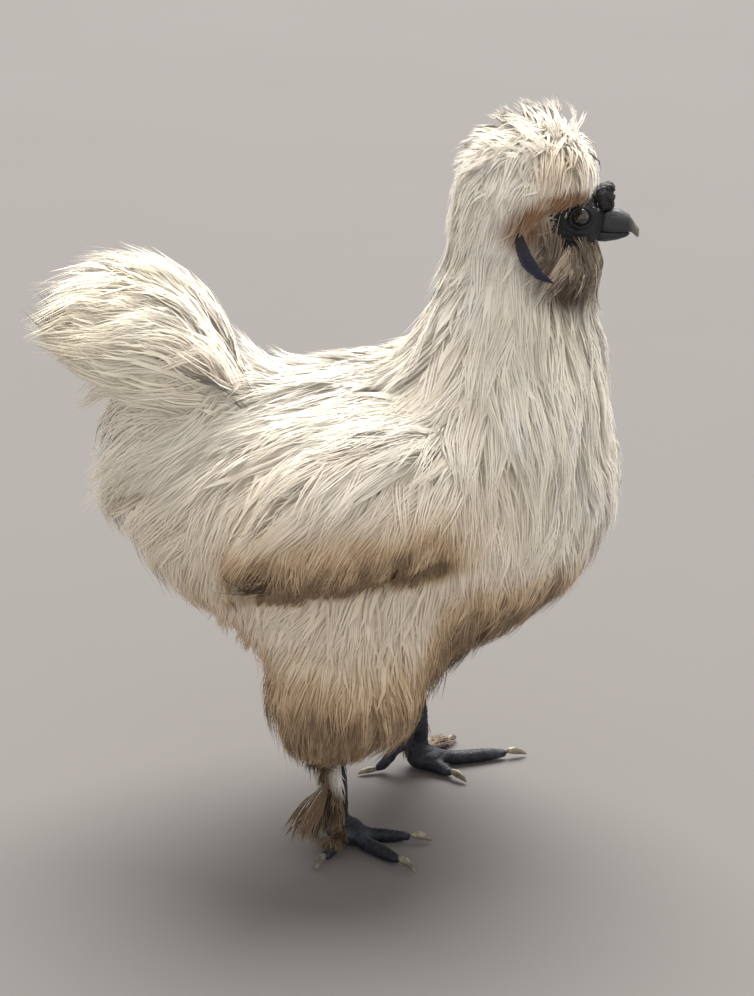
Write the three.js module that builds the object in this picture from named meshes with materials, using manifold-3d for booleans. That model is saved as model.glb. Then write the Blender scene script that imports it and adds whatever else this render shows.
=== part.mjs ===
// Silkie chicken, standing with its left foot a short step ahead: a life-size still model.
// Millimetres, +X towards the bill, +Y the bird's left, +Z up, the floor at Z = 0.
// Each solid reaches out to the tips of the feathers that cover it. Legs, bill, comb, eyes and
// earlobes are bare, so they have their own true surface.
import * as THREE from "three";
import { mergeVertices } from "three/addons/utils/BufferGeometryUtils.js";
import Module from "manifold-3d";

const wasm = await Module();
wasm.setup();

// Driving dimensions.
const GAP = 0.4; // between neighbouring solids
const STANCE = 38; // each foot's distance from the middle plane
const STEP = 38; // how far the left foot stands ahead of the right one
const RIGHT_FOOT_X = -15;
const BODY_SPAN = 260; // wider than the bird, for cuts that go right through it
const EYE = { x: 87.5, out: 10.8, z: 287.5, radius: 5 };
const HOCK_Z = 60; // hidden in the thigh's fluff
const ANKLE_CUT_Z = 29; // where the shank ends and the foot begins

const SIDES = { right: -1, left: 1 };
const FOOT_X = { right: RIGHT_FOOT_X, left: RIGHT_FOOT_X + STEP };
const THIGH_X = { right: FOOT_X.right, left: FOOT_X.left - 10 };

// Materials.
function finish(color, roughness) {
  return new THREE.MeshStandardMaterial({ color, roughness, metalness: 0 });
}
const PLUMAGE = finish(0xece5d6, 0.85);
const STAINED_PLUMAGE = finish(0x8a7560, 0.9);
const COMB_SKIN = finish(0x2e2430, 0.55);
const LOBE_SKIN = finish(0x35335e, 0.5);
const HORN = finish(0x4a4d50, 0.35);
const EYE_GLASS = finish(0x120d0b, 0.08);
const LEG_SKIN = finish(0x23242c, 0.55);
const CLAW_HORN = finish(0xa59f7c, 0.4);

const vector = (p) => new THREE.Vector3(p[0], p[1], p[2]);

// A closed mesh as a solid.
function solid(geometry) {
  geometry.deleteAttribute("normal");
  geometry.deleteAttribute("uv");
  const merged = mergeVertices(geometry, 1e-4);
  return new wasm.Manifold(
    new wasm.Mesh({
      numProp: 3,
      vertProperties: new Float32Array(merged.attributes.position.array),
      triVerts: new Uint32Array(merged.index.array),
    }),
  );
}

// A sphere drawn out along a spine. spine holds points, and half holds the half widths at them:
// [across the body, in the plane of the spine]. across is the direction of the first one.
// grow makes the same body larger all round, to cut its neighbours with.
function swell({ spine, half, across = [0, 1, 0], around = 18, along = 10, blunt = 2 }, grow = 0) {
  const path = new THREE.CatmullRomCurve3(spine.map(vector), false, "catmullrom");
  const widths = new THREE.CatmullRomCurve3(
    half.map(([wide, high]) => vector([wide, high, 0])),
    false,
    "catmullrom",
  );
  const geometry = new THREE.SphereGeometry(1, around, along);
  const position = geometry.attributes.position;
  for (let i = 0; i < position.count; i++) {
    const x = position.getX(i);
    const y = Math.min(1, Math.max(-1, position.getY(i)));
    const z = position.getZ(i);
    const t = (1 - y) / 2;
    const ring = Math.hypot(x, z);
    const swollen = (1 - Math.abs(y) ** blunt) ** (1 / blunt);
    const share = ring > 1e-6 ? swollen / ring : 0;
    const forward = path.getTangent(t);
    const side = vector(across).addScaledVector(forward, -vector(across).dot(forward)).normalize();
    const up = new THREE.Vector3().crossVectors(forward, side);
    const size = widths.getPoint(t);
    const place = path
      .getPoint(t)
      .addScaledVector(forward, -y * grow)
      .addScaledVector(side, x * share * (size.x + grow))
      .addScaledVector(up, z * share * (size.y + grow));
    position.setXYZ(i, place.x, place.y, place.z);
  }
  return solid(geometry);
}

function ellipsoid([x, y, z], [a, b, c], grow = 0, around = 12, along = 8) {
  const geometry = new THREE.SphereGeometry(1, around, along);
  geometry.scale(a + grow, b + grow, c + grow);
  geometry.translate(x, y, z);
  return solid(geometry);
}

function box(centre, size, turnY = 0) {
  const geometry = new THREE.BoxGeometry(size[0], size[1], size[2]);
  geometry.rotateY(turnY);
  geometry.translate(centre[0], centre[1], centre[2]);
  return solid(geometry);
}

// A thin cut through the body, square to the middle plane, from one point of that plane to another.
function thinCut([x0, z0], [x1, z1]) {
  const length = Math.hypot(x1 - x0, z1 - z0);
  const centre = [(x0 + x1) / 2, 0, (z0 + z1) / 2];
  return box(centre, [length, BODY_SPAN, GAP], -Math.atan2(z1 - z0, x1 - x0));
}

// All that lies within a depth under a line of the middle plane, or over it where depth is below 0.
function besideLine([x0, z0], [x1, z1], depth) {
  const length = Math.hypot(x1 - x0, z1 - z0);
  const [downX, downZ] = [(z1 - z0) / length, -(x1 - x0) / length];
  const centre = [(x0 + x1) / 2 + (downX * depth) / 2, 0, (z0 + z1) / 2 + (downZ * depth) / 2];
  return box(centre, [length, BODY_SPAN, Math.abs(depth)], -Math.atan2(z1 - z0, x1 - x0));
}

const joined = (solids) => solids.reduce((all, one) => all.add(one));
const less = (body, cutters) => cutters.reduce((left, one) => left.subtract(one), body);

function largest(body) {
  return body.decompose().reduce((a, b) => (a.volume() > b.volume() ? a : b));
}

// The separate piece of a body whose box is centred nearest to a place.
function pieceAt(body, place) {
  const away = (piece) => {
    const { min, max } = piece.boundingBox();
    return Math.hypot(...place.map((p, k) => p - (min[k] + max[k]) / 2));
  };
  return body.decompose().reduce((a, b) => (away(a) < away(b) ? a : b));
}

// The feathered body: trunk, neck, head and tail.
const TRUNK = {
  spine: [[-135, 0, 172], [-72, 0, 157.5], [-5, 0, 150], [60, 0, 166], [107, 0, 197]],
  half: [[60, 37], [70, 66], [75, 75], [69, 72], [46, 51]],
  blunt: 2.1,
  around: 22,
  along: 13,
};
const NECK = {
  spine: [[46, 0, 128], [54, 0, 190], [60, 0, 240], [64, 0, 296]],
  half: [[60, 60], [62, 53], [38, 45], [31, 37]],
  around: 18,
};
const NAPE = { spine: [[58, 0, 300], [54, 0, 280], [54, 0, 250]], half: [[24, 22], [29, 26], [27, 27]] };
const SKULL = { centre: [81, 0, 284], half: [19, 15.5, 14] };
const CREST = {
  spine: [[36, 0, 271], [64, 0, 299], [92, 0, 327]],
  half: [[34, 30], [34, 31], [34, 30]],
  around: 18,
  along: 11,
};
// The crest's lower edge over the bare face, and how far down the face is kept free of it.
const BROW = { back: [66.9, 290.1], front: [125.1, 298.8], depth: 40 };
const TAIL = {
  spine: [[-50, 0, 193], [-80, 0, 222], [-112, 0, 239], [-155, 0, 240]],
  half: [[28, 20], [40, 29], [44, 36], [34, 31]],
  blunt: 2.4,
};
// The long feathers that fall from the tail's root on to the rump.
const SADDLE = { centre: [-104, 0, 188], half: [27, 26, 21] };
const BEARD = { centre: [80.5, 0, 263], half: [20, 29, 17.5] };

// The limbs and bare parts of one side. s is -1 on the bird's right and 1 on its left.
const lobe = (s) => ({
  spine: [[59, 22 * s, 288], [62.5, 30 * s, 277], [67.5, 31.5 * s, 268.5], [76, 30 * s, 262.5]],
  half: [[1.6, 3.4], [2.1, 4.6], [2, 4], [1.2, 1.6]],
  across: [0, 1, 0.1],
  around: 8,
  along: 6,
});
const wing = (s) => ({
  spine: [[52, 50 * s, 191], [18, 66 * s, 183], [-26, 71 * s, 166], [-71, 64 * s, 135]],
  half: [[11, 23], [15, 35], [14, 33], [9, 22]],
  across: [0, s, 0.3],
  around: 14,
  along: 9,
});
const thigh = (s, x) => ({
  spine: [[x + 8, 34 * s, 124], [x + 4, 42 * s, 92], [x - 7, 43 * s, 66], [x - 18, 41 * s, 42]],
  half: [[26, 47], [30, 45], [29, 36], [21, 22]],
  blunt: 2.3,
  around: 14,
  along: 8,
});
const shank = (s, x) => ({
  spine: [[x - 5, STANCE * s, HOCK_Z + 4], [x - 3, STANCE * s, 32], [x - 1, STANCE * s, 2]],
  half: [[5.2, 5.8], [4.4, 4.9], [5.4, 6]],
  around: 8,
  along: 6,
});

// Toes. angle is from straight ahead, inwards, in degrees, and reach is out to the claw's tip.
// The right foot is turned well out, and the left one points ahead.
const FRONT_TOES = [
  { name: "inner", angle: { right: -3, left: 42 }, reach: { right: 41, left: 28 }, thick: 3.9 },
  { name: "middle", angle: { right: -45, left: -14 }, reach: { right: 46, left: 53 }, thick: 4.2 },
  { name: "outer", angle: { right: -112, left: -62 }, reach: { right: 34, left: 36 }, thick: 3.8 },
];
const HIND_TOE = { angle: { right: 142, left: 163 }, reach: { right: 26, left: 31 }, thick: 3.3, root: 18 };
const FIFTH_TOE = { angle: { right: 98, left: 115 }, reach: { right: 20, left: 20 }, thick: 2.8, root: 20 };
const CLAW_LENGTH = 8;
const SOLE_CUT = 0.4; // how much of each round toe the flat sole takes away
const FLOOR_DEPTH = 40; // of the block that cuts the soles flat
const ANKLE_WIDTH = 30; // of the cut through the ankle, clear of both sides
const CLAW_ROOT = 3.5; // how much of the claw is set into the toe
const CLAW_TIP_Z = 0.9; // how high a claw's tip is carried above the floor
const TOE_SETTLE = 0.88; // height of a toe's midline above the floor, as a share of its half thickness

// A place on the floor plan of a foot: so far out from its centre, at an angle turned inwards.
function onPlan(s, centreX, angle, distance, z) {
  const turn = THREE.MathUtils.degToRad(angle);
  return [centreX + distance * Math.cos(turn), (STANCE - distance * Math.sin(turn)) * s, z];
}

function frontToe(s, x, { angle, reach, thick }, side) {
  const at = (distance, z) => onPlan(s, x, angle[side], distance, z);
  const length = reach[side] - CLAW_LENGTH;
  const rest = thick * TOE_SETTLE - SOLE_CUT;
  return {
    toe: {
      spine: [at(-3, 8), at(length * 0.35, rest + 0.4), at(length * 0.7, rest), at(length, rest)],
      half: [1, 1, 0.93, 0.85].map((share) => [thick * share, thick * share]),
      around: 8,
      along: 5,
      blunt: 3,
    },
    claw: {
      spine: [
        at(length - CLAW_ROOT, rest + 1),
        at(length + CLAW_LENGTH * 0.4, rest + 0.4),
        at(reach[side], CLAW_TIP_Z),
      ],
      half: [[2.3, 2.5], [1.7, 2], [0.5, 0.6]],
      around: 6,
      along: 5,
    },
  };
}

// The hind toe steps down behind the foot, and the fifth toe above it stands clear of the floor.
function hindToe(s, x, { angle, reach, thick, root }, side, lifted) {
  const at = (distance, z) => onPlan(s, x - 3, angle[side], distance, z);
  const length = reach[side] - CLAW_LENGTH;
  const end = lifted ? root + 6 : thick * TOE_SETTLE - SOLE_CUT;
  const mid = lifted ? root + 3 : end + 1;
  const tip = lifted ? end + 3 : CLAW_TIP_Z;
  return {
    toe: {
      spine: [
        at(1, root),
        at(length * 0.5, (root + end) / 2 + 1),
        at(length * 0.8, mid),
        at(length + 1, end),
      ],
      half: [1.1, 1, 1, 0.85].map((share) => [thick * share, thick * share]),
      around: 8,
      along: 5,
      blunt: 3,
    },
    claw: {
      spine: [
        at(length - CLAW_ROOT, end),
        at(length + CLAW_LENGTH * 0.5, (end + tip) / 2 + 0.6),
        at(reach[side], tip),
      ],
      half: [[2, 2.1], [1.4, 1.6], [0.5, 0.6]],
      around: 6,
      along: 5,
    },
  };
}

// Feathers on the outer side of the shank and foot.
const STOCKINGS = {
  right: {
    spine: [[-17, -42, 44], [-22, -48, 28], [-29, -57, 14], [-32, -66, 6]],
    half: [[7, 8], [8, 10], [8, 10], [6, 7]],
  },
  left: {
    spine: [[16, 42, 38], [24, 46, 23], [32, 53, 12], [41, 60, 7]],
    half: [[6, 7], [6.5, 7], [6, 6.5], [4, 4.5]],
  },
};

const root = new THREE.Group();
function add(name, body, material) {
  const { vertProperties, triVerts, numProp } = body.getMesh();
  const positions = new Float32Array((vertProperties.length / numProp) * 3);
  for (let i = 0; i < positions.length / 3; i++) {
    positions.set(vertProperties.subarray(i * numProp, i * numProp + 3), i * 3);
  }
  const geometry = new THREE.BufferGeometry();
  geometry.setAttribute("position", new THREE.BufferAttribute(positions, 3));
  geometry.setIndex(new THREE.BufferAttribute(new Uint32Array(triVerts), 1));
  geometry.computeVertexNormals();
  const mesh = new THREE.Mesh(geometry, material);
  mesh.name = name;
  root.add(mesh);
}

// Bill: both halves are widest along the line where they close, and the upper one ends in a hook
// that bends down over the lower one.
const BITE = { back: [86, 279.7], front: [118, 277.9], reach: 12 };
const BILL_UPPER = {
  spine: [[92, 0, 281.4], [100, 0, 281.4], [108, 0, 280], [114.2, 0, 277.6]],
  half: [[5.4, 8.2], [5.2, 8.6], [3.8, 7.2], [1.5, 2.8]],
  around: 12,
  along: 8,
};
const BILL_HOOK = {
  spine: [[107, 0, 281.4], [112.2, 0, 280.2], [114.5, 0, 275.6]],
  half: [[2.6, 3], [2.1, 2.4], [0.9, 1]],
  around: 8,
  along: 5,
};
const BILL_LOWER = {
  spine: [[91, 0, 278.6], [100, 0, 278.2], [111, 0, 277.6]],
  half: [[4.8, 5], [4.4, 4.2], [2.2, 2.8]],
  around: 10,
  along: 6,
};
const underBite = (grow) =>
  besideLine([BITE.back[0], BITE.back[1] + grow], [BITE.front[0], BITE.front[1] + grow], BITE.reach);
const overBite = besideLine(BITE.back, BITE.front, -BITE.reach);
const upperBill = (grow) =>
  joined([less(swell(BILL_UPPER, grow), [underBite(GAP - grow)]), swell(BILL_HOOK, grow)]);
const lowerBill = (grow) => less(swell(BILL_LOWER, grow), [overBite]);
const bill = [upperBill(GAP), swell(BILL_LOWER, GAP)];

// Comb: a low cushion with a ring of knobs, like half a walnut.
const COMB = { centre: [98.3, 0, 293.5], half: [5, 6, 7] };
const KNOBS = 6;
function comb(grow) {
  const [x, y, z] = COMB.centre;
  const knobs = Array.from({ length: KNOBS }, (_, i) => {
    const turn = (i / KNOBS) * 2 * Math.PI;
    const place = [x + 2.6, y + 3.4 * Math.cos(turn), z + 1 + 4.2 * Math.sin(turn)];
    return ellipsoid(place, [3, 2.7, 2.9], grow, 7, 4);
  });
  return joined([ellipsoid(COMB.centre, COMB.half, grow, 8, 6), ...knobs]);
}

// Head, crest and neck are one form, and the cuts part them.
const eyeHalf = [EYE.radius, EYE.radius, EYE.radius];
const eye = (s, grow) => ellipsoid([EYE.x, EYE.out * s, EYE.z], eyeHalf, grow, 10, 7);
const bothSides = (make) => [make(SIDES.right), make(SIDES.left)];
const beard = (grow) => ellipsoid(BEARD.centre, BEARD.half, grow, 14, 8);
const underBrow = besideLine(BROW.back, BROW.front, BROW.depth);
const plumed = joined([
  swell(TRUNK),
  swell(NECK),
  swell(NAPE),
  ellipsoid(SKULL.centre, SKULL.half),
  less(swell(CREST), [underBrow]),
  swell(TAIL),
  ellipsoid(SADDLE.centre, SADDLE.half, 0, 10, 6),
]);
const parted = less(plumed, [
  thinCut([-30, 236], [-150, 182]), // tail from trunk
  thinCut([-10, 246], [130, 199]), // neck from trunk
  thinCut([10, 273], [130, 243]), // head from neck
  thinCut([10, 284], [120, 298]), // crest from head
  beard(GAP),
  comb(GAP),
  ...bill,
  ...bothSides((s) => eye(s, GAP)),
  ...bothSides((s) => swell(lobe(s), GAP)),
  ...bothSides((s) => swell(wing(s), GAP)),
  ...Object.entries(SIDES).map(([side, s]) => swell(thigh(s, THIGH_X[side]), GAP)),
]);
add("trunk", pieceAt(parted, [-10, 0, 150]), PLUMAGE);
add("neck", pieceAt(parted, [58, 0, 235]), PLUMAGE);
add("head", pieceAt(parted, [64, 0, 275]), PLUMAGE);
add("crest", pieceAt(parted, [64, 0, 312]), PLUMAGE);
add("tail", pieceAt(parted, [-105, 0, 240]), PLUMAGE);
const faceCutters = [
  ...bill,
  comb(GAP),
  ...bothSides((s) => eye(s, GAP)),
  ...bothSides((s) => swell(lobe(s), GAP)),
];
add("beard", largest(less(beard(0), faceCutters)), STAINED_PLUMAGE);
add("bill_upper", less(upperBill(0), [comb(GAP)]), HORN);
add("bill_lower", largest(less(lowerBill(0), [upperBill(GAP)])), HORN);
add("comb", comb(0), COMB_SKIN);

for (const [side, s] of Object.entries(SIDES)) {
  const x = FOOT_X[side];
  const fluff = thigh(s, THIGH_X[side]);
  add(`eye_${side}`, eye(s, 0), EYE_GLASS);
  add(`earlobe_${side}`, swell(lobe(s)), LOBE_SKIN);
  add(`wing_${side}`, swell(wing(s)), PLUMAGE);

  const floor = box([0, 0, -FLOOR_DEPTH / 2], [BODY_SPAN, BODY_SPAN, FLOOR_DEPTH]);
  const toes = FRONT_TOES.map((toe) => ({ name: toe.name, ...frontToe(s, x, toe, side) }));
  toes.push({ name: "hind", ...hindToe(s, x, HIND_TOE, side, false) });
  toes.push({ name: "fifth", ...hindToe(s, x, FIFTH_TOE, side, true) });
  const pad = (grow) => ellipsoid([x, STANCE * s, 6], [10, 9, 6.4], grow, 8, 6);
  const leg = joined([swell(shank(s, x)), pad(0), ...toes.map(({ toe }) => swell(toe))]);
  const claws = toes.map(({ claw }) => swell(claw, GAP));
  const ankleCut = box([x, STANCE * s, ANKLE_CUT_Z], [ANKLE_WIDTH, ANKLE_WIDTH, GAP]);
  const cutLeg = less(leg, [floor, ankleCut, ...claws]);
  add(`shank_${side}`, pieceAt(cutLeg, [x - 3, STANCE * s, 46]), LEG_SKIN);
  add(`foot_${side}`, pieceAt(cutLeg, [x + 8, STANCE * s, 8]), LEG_SKIN);
  for (const { name, claw } of toes) {
    add(`claw_${name}_${side}`, less(swell(claw), [floor]), CLAW_HORN);
  }
  const legGrown = [swell(shank(s, x), GAP), pad(GAP), ...toes.map(({ toe }) => swell(toe, GAP)), ...claws];
  const besideThigh = [swell(wing(s), GAP), swell(shank(s, x), GAP)];
  add(`thigh_${side}`, largest(less(swell(fluff), besideThigh)), PLUMAGE);
  const stocking = less(swell({ ...STOCKINGS[side], around: 8, along: 6 }), [
    ...legGrown,
    swell(fluff, GAP),
  ]);
  add(`foot_feathers_${side}`, largest(stocking), STAINED_PLUMAGE);
}

// The origin is on the floor, under the middle of the bird's bounding box.
const bounds = new THREE.Box3().setFromObject(root);
root.position.set(-(bounds.min.x + bounds.max.x) / 2, -(bounds.min.y + bounds.max.y) / 2, -bounds.min.z);

export default root;
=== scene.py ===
# %% [markdown]
# A silkie chicken, life size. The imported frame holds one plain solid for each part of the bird,
# drawn out to the tips of its feathers. This lesson dresses that frame. It makes one skin for
# the flesh, finer horn, comb, eyes and claws, and then a coat of feathers as real mesh.
# All shapes are worked out in millimetres in the bird's own frame, and turned into metres last.

# %% Load the frame
import math
from dataclasses import dataclass, replace

import bmesh
import bpy
import numpy as np
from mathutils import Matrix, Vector
from mathutils.bvhtree import BVHTree
from mathutils.kdtree import KDTree


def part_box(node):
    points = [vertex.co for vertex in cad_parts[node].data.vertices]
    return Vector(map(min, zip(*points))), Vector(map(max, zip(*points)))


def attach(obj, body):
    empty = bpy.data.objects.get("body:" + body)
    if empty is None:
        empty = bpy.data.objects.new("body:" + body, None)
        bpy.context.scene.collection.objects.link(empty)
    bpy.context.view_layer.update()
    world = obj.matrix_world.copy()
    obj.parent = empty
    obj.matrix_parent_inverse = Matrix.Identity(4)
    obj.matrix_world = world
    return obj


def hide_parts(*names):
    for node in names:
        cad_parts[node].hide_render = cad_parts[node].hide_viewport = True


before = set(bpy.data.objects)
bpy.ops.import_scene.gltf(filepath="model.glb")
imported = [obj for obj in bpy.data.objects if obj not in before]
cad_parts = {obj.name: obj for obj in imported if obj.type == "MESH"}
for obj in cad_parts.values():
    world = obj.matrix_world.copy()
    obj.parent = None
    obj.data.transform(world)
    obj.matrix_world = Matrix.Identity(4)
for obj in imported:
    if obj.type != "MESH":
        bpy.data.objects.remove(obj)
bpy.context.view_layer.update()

MM = 0.001
rng = np.random.default_rng(20)

# %% [markdown]
# The bird is easiest to think of from a point on the floor below the middle of its body, with +X
# towards the bill and +Y to its left. The eye's place from that point is known, so the eye's box
# in the frame gives the point itself. Every size below is then a plain number of millimetres.

# %% Find the bird's own origin
EYE = np.array([87.5, 10.8, 287.5])
EYE_RADIUS = 5.0
SIDES = {"right": -1, "left": 1}


def node_middle(node):
    low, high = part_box(node)
    return np.array((low + high) / 2)


ORIGIN = node_middle("eye_right") - EYE * [1, -1, 1] * MM


def in_scene(name, data):
    obj = bpy.data.objects.new(name, data)
    bpy.context.scene.collection.objects.link(obj)
    return obj


print("the bird's origin in metres", ORIGIN.round(5))

# %% [markdown]
# The camera stands at the bird's right, a little above its back, and looks down by twenty
# degrees. A long lens a good metre away keeps the head and the tail in their true proportion.

# %% Camera
CAMERA_TILT = math.radians(20)
CAMERA_DISTANCE = 1150.0
AIM_HEIGHT = 154.3
LENS = 91.45

camera_data = bpy.data.cameras.new("camera")
camera_data.lens = LENS
camera = in_scene("camera", camera_data)
aim = ORIGIN + np.array([0, 0, AIM_HEIGHT]) * MM
back_off = np.array([0, -math.cos(CAMERA_TILT), math.sin(CAMERA_TILT)])
camera.location = aim + back_off * CAMERA_DISTANCE * MM
camera.rotation_euler = (math.pi / 2 - CAMERA_TILT, 0, 0)
bpy.context.scene.camera = camera
print("camera height in metres", round(camera.location.z, 3))

# %% [markdown]
# White feathers need a light that wraps round them. One wide soft lamp high behind the bird makes
# its back and crest glow, a weaker one fills the near side, and a pale sky does the rest. Lamps
# far away light the floor evenly, so no pool of light draws the eye from the bird.

# %% Light and sky
LAMP_WHITE = (1.0, 0.98, 0.94)
SKY_WHITE = (1.0, 0.985, 0.96, 1)


def far_lamp(name, direction, strength, softness):
    data = bpy.data.lights.new(name, "SUN")
    data.energy = strength
    data.angle = math.radians(softness)
    data.color = LAMP_WHITE
    in_scene(name, data).rotation_euler = Vector(direction).to_track_quat("-Z", "Y").to_euler()


far_lamp("overhead", (-0.1, -0.6, -1.0), 6.2, 50)
far_lamp("near_fill", (-0.5, 1.0, -0.5), 0.45, 90)

sky = bpy.data.worlds.new("sky")
sky.use_nodes = True
background = sky.node_tree.nodes["Background"]
background.inputs["Color"].default_value = SKY_WHITE
background.inputs["Strength"].default_value = 0.62
bpy.context.scene.world = sky
bpy.context.scene.cycles.diffuse_bounces = 10
bpy.context.scene.view_settings.view_transform = "Standard"

# %% [markdown]
# A small toolbox comes next. Meshes are handled as arrays of points and triangles, because a coat
# has more than a million faces and a loop over each of them would take far too long.

# %% Arrays and meshes
def unit(v):
    return v / np.maximum(np.linalg.norm(v, axis=-1, keepdims=True), 1e-9)


def dot(a, b):
    return (a * b).sum(-1, keepdims=True)


def ease(t):
    t = np.clip(t, 0, 1)
    return t * t * (3 - 2 * t)


def read(items, what, kind=float, width=3):
    flat = np.empty(len(items) * width, kind)
    items.foreach_get(what, flat)
    return flat.reshape(-1, width)


def points_of(mesh):
    return (read(mesh.vertices, "co") - ORIGIN) / MM


def set_points(mesh, points):
    mesh.vertices.foreach_set("co", (points * MM + ORIGIN).ravel().astype(np.float32))
    mesh.update()


def normals_of(mesh):
    return read(mesh.vertex_normals, "vector")


def triangles_of(mesh):
    mesh.calc_loop_triangles()
    return read(mesh.loop_triangles, "vertices", int)


def store(mesh, label, values):
    """A number for each point, which a material reads by its label."""
    layer = mesh.attributes.new(label, "FLOAT", "POINT")
    layer.data.foreach_set("value", values.astype(np.float32))


def make_object(name, points, triangles):
    mesh = bpy.data.meshes.new(name)
    mesh.vertices.add(len(points))
    mesh.loops.add(triangles.size)
    mesh.polygons.add(len(triangles))
    mesh.loops.foreach_set("vertex_index", triangles.ravel().astype(np.int32))
    mesh.polygons.foreach_set("loop_start", np.arange(0, triangles.size, 3, dtype=np.int32))
    set_points(mesh, points)
    return in_scene(name, mesh)


def node_shape(node):
    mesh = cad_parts[node].data
    return points_of(mesh), triangles_of(mesh)


print("triangles in the frame's trunk", len(node_shape("trunk")[1]))

# %% [markdown]
# Flesh is built from swellings: a bent line, with a round section that changes along it and closes
# at both ends. It is the same idea as rolling clay into a sausage and bending it.

# %% Swellings along a bent line
def spline(knots, t):
    """Points on a smooth line through the knots, with t from 0 to 1."""
    knots = np.array(knots, float)
    first = 2 * knots[0] - knots[1]
    last = 2 * knots[-1] - knots[-2]
    k = np.vstack([first, knots, last])
    place = np.clip(t, 0, 1) * (len(knots) - 1)
    i = np.minimum(place.astype(int), len(knots) - 2)
    f = (place - i)[..., None]
    a, b, c, d = k[i], k[i + 1], k[i + 2], k[i + 3]
    bend = (2 * a - 5 * b + 4 * c - d) * f**2
    twist = (3 * b - a - 3 * c + d) * f**3
    return 0.5 * (2 * b + (c - a) * f + bend + twist)


def swell(spine, half, across=(0, 1, 0), blunt=2.2, along=26, around=30):
    t = (1 - np.cos(np.pi * np.linspace(0, 1, along + 1))) / 2
    middle = spline(spine, t)
    size = spline(half, t)
    forward = unit(np.gradient(middle, axis=0))
    across = np.broadcast_to(np.array(across, float), forward.shape)
    side = unit(across - dot(across, forward) * forward)
    up = np.cross(forward, side)
    closing = (1 - np.abs(2 * t - 1) ** blunt).clip(0) ** (1 / blunt)
    angle = 2 * np.pi * np.arange(around) / around
    wide = side[:, None] * (np.cos(angle)[:, None] * (size[:, :1] * closing[:, None])[:, None])
    high = up[:, None] * (np.sin(angle)[:, None] * (size[:, 1:] * closing[:, None])[:, None])
    points = (middle[:, None] + wide + high).reshape(-1, 3)
    a = np.arange(along)[:, None] * around
    here = np.arange(around)[None]
    there = (here + 1) % around
    quads = np.stack([a + here, a + there, a + around + there, a + around + here], -1).reshape(-1, 4)
    return points, np.vstack([quads[:, [0, 1, 2]], quads[:, [0, 2, 3]]])


def ball(centre, half):
    x, y, z = centre
    return swell([[x - half[0], y, z], [x, y, z], [x + half[0], y, z]], [half[1:]] * 3, blunt=2)


print("points in a ball", len(ball((0, 0, 0), (1, 1, 1))[0]))

# %% [markdown]
# Closed shapes that overlap are melted into one skin by the voxel remesher. Its small steps are
# then smoothed away by moving each point towards the middle of its neighbours.

# %% Melt and smooth
def melt(name, shapes, voxel):
    offset = 0
    points, triangles = [], []
    for p, t in shapes:
        points.append(p)
        triangles.append(t + offset)
        offset += len(p)
    obj = make_object(name, np.vstack(points), np.vstack(triangles))
    remesh = obj.modifiers.new("melt", "REMESH")
    remesh.mode = "VOXEL"
    remesh.voxel_size = voxel * MM
    graph = bpy.context.evaluated_depsgraph_get()
    mesh = bpy.data.meshes.new_from_object(obj.evaluated_get(graph))
    obj.modifiers.clear()
    obj.data = mesh
    mesh.shade_smooth()
    return obj


def smooth(mesh, rounds, amount=0.6):
    count = len(mesh.vertices)
    edges = read(mesh.edges, "vertices", int, 2)
    a, b = edges.T
    degree = np.bincount(edges.ravel(), minlength=count)[:, None]
    points = points_of(mesh)
    for _ in range(rounds):
        total = np.stack(
            [np.bincount(a, points[b, k], count) + np.bincount(b, points[a, k], count) for k in range(3)], 1
        )
        points += (total / degree - points) * amount
    set_points(mesh, points)


# %% [markdown]
# A coat must stop where the frame's solids stop. The plumage solids are melted into one hull, and
# the distance to it is kept on a grid, below zero inside and above zero outside. A feather can
# then ask how deep it lies, and which way is out, at any place.

# %% The hull and its distance grid
class Hull:
    """A form's surface as distances on a grid. Points between the grid's places are blended."""

    def __init__(self, obj, step, margin):
        mesh = obj.data
        points = points_of(mesh)
        tree = BVHTree.FromPolygons([Vector(p) for p in points], triangles_of(mesh).tolist())
        self.low = points.min(0) - margin
        self.step = step
        self.size = np.ceil((points.max(0) + margin - self.low) / step).astype(int) + 1
        places = np.stack(np.meshgrid(*[np.arange(n) for n in self.size], indexing="ij"), -1).reshape(-1, 3)
        level = np.empty(len(places))
        for i, p in enumerate(places * step + self.low):
            hit, normal, _, gap = tree.find_nearest(p)
            level[i] = gap if normal.dot(Vector(p) - hit) > 0 else -gap
        self.level = level.reshape(self.size)

    def at(self, points):
        place = np.clip((points - self.low) / self.step, 0, self.size - 1.001)
        i = place.astype(int)
        f = place - i
        total = 0
        for corner in range(8):
            bit = np.array([corner & 1, corner >> 1 & 1, corner >> 2 & 1])
            weight = np.where(bit, f, 1 - f).prod(-1)
            x, y, z = np.moveaxis(i + bit, -1, 0)
            total = total + self.level[x, y, z] * weight
        return total

    def out(self, points):
        slope = [self.at(points + d) - self.at(points - d) for d in np.eye(3) * self.step * 0.7]
        return unit(np.stack(slope, -1))


WING_NODES = ["wing_right", "wing_left"]
BODY_NODES = ["trunk", "neck", "head", "crest", "tail", "beard", "thigh_right", "thigh_left"]
HULL_VOXEL = 2.4


def hull_of(nodes, step, margin, fill=0.0):
    """The nodes as one form. fill closes its creases: it swells the form, melts it and shrinks it."""
    form = melt("form", [node_shape(n) for n in nodes], HULL_VOXEL)
    if fill:
        swollen = points_of(form.data) + normals_of(form.data) * fill, triangles_of(form.data)
        bpy.data.objects.remove(form)
        form = melt("form", [swollen], HULL_VOXEL)
        smooth(form.data, 3)
        set_points(form.data, points_of(form.data) - normals_of(form.data) * fill)
    smooth(form.data, 6)
    hull = Hull(form, step, margin)
    bpy.data.objects.remove(form)
    return hull


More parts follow.
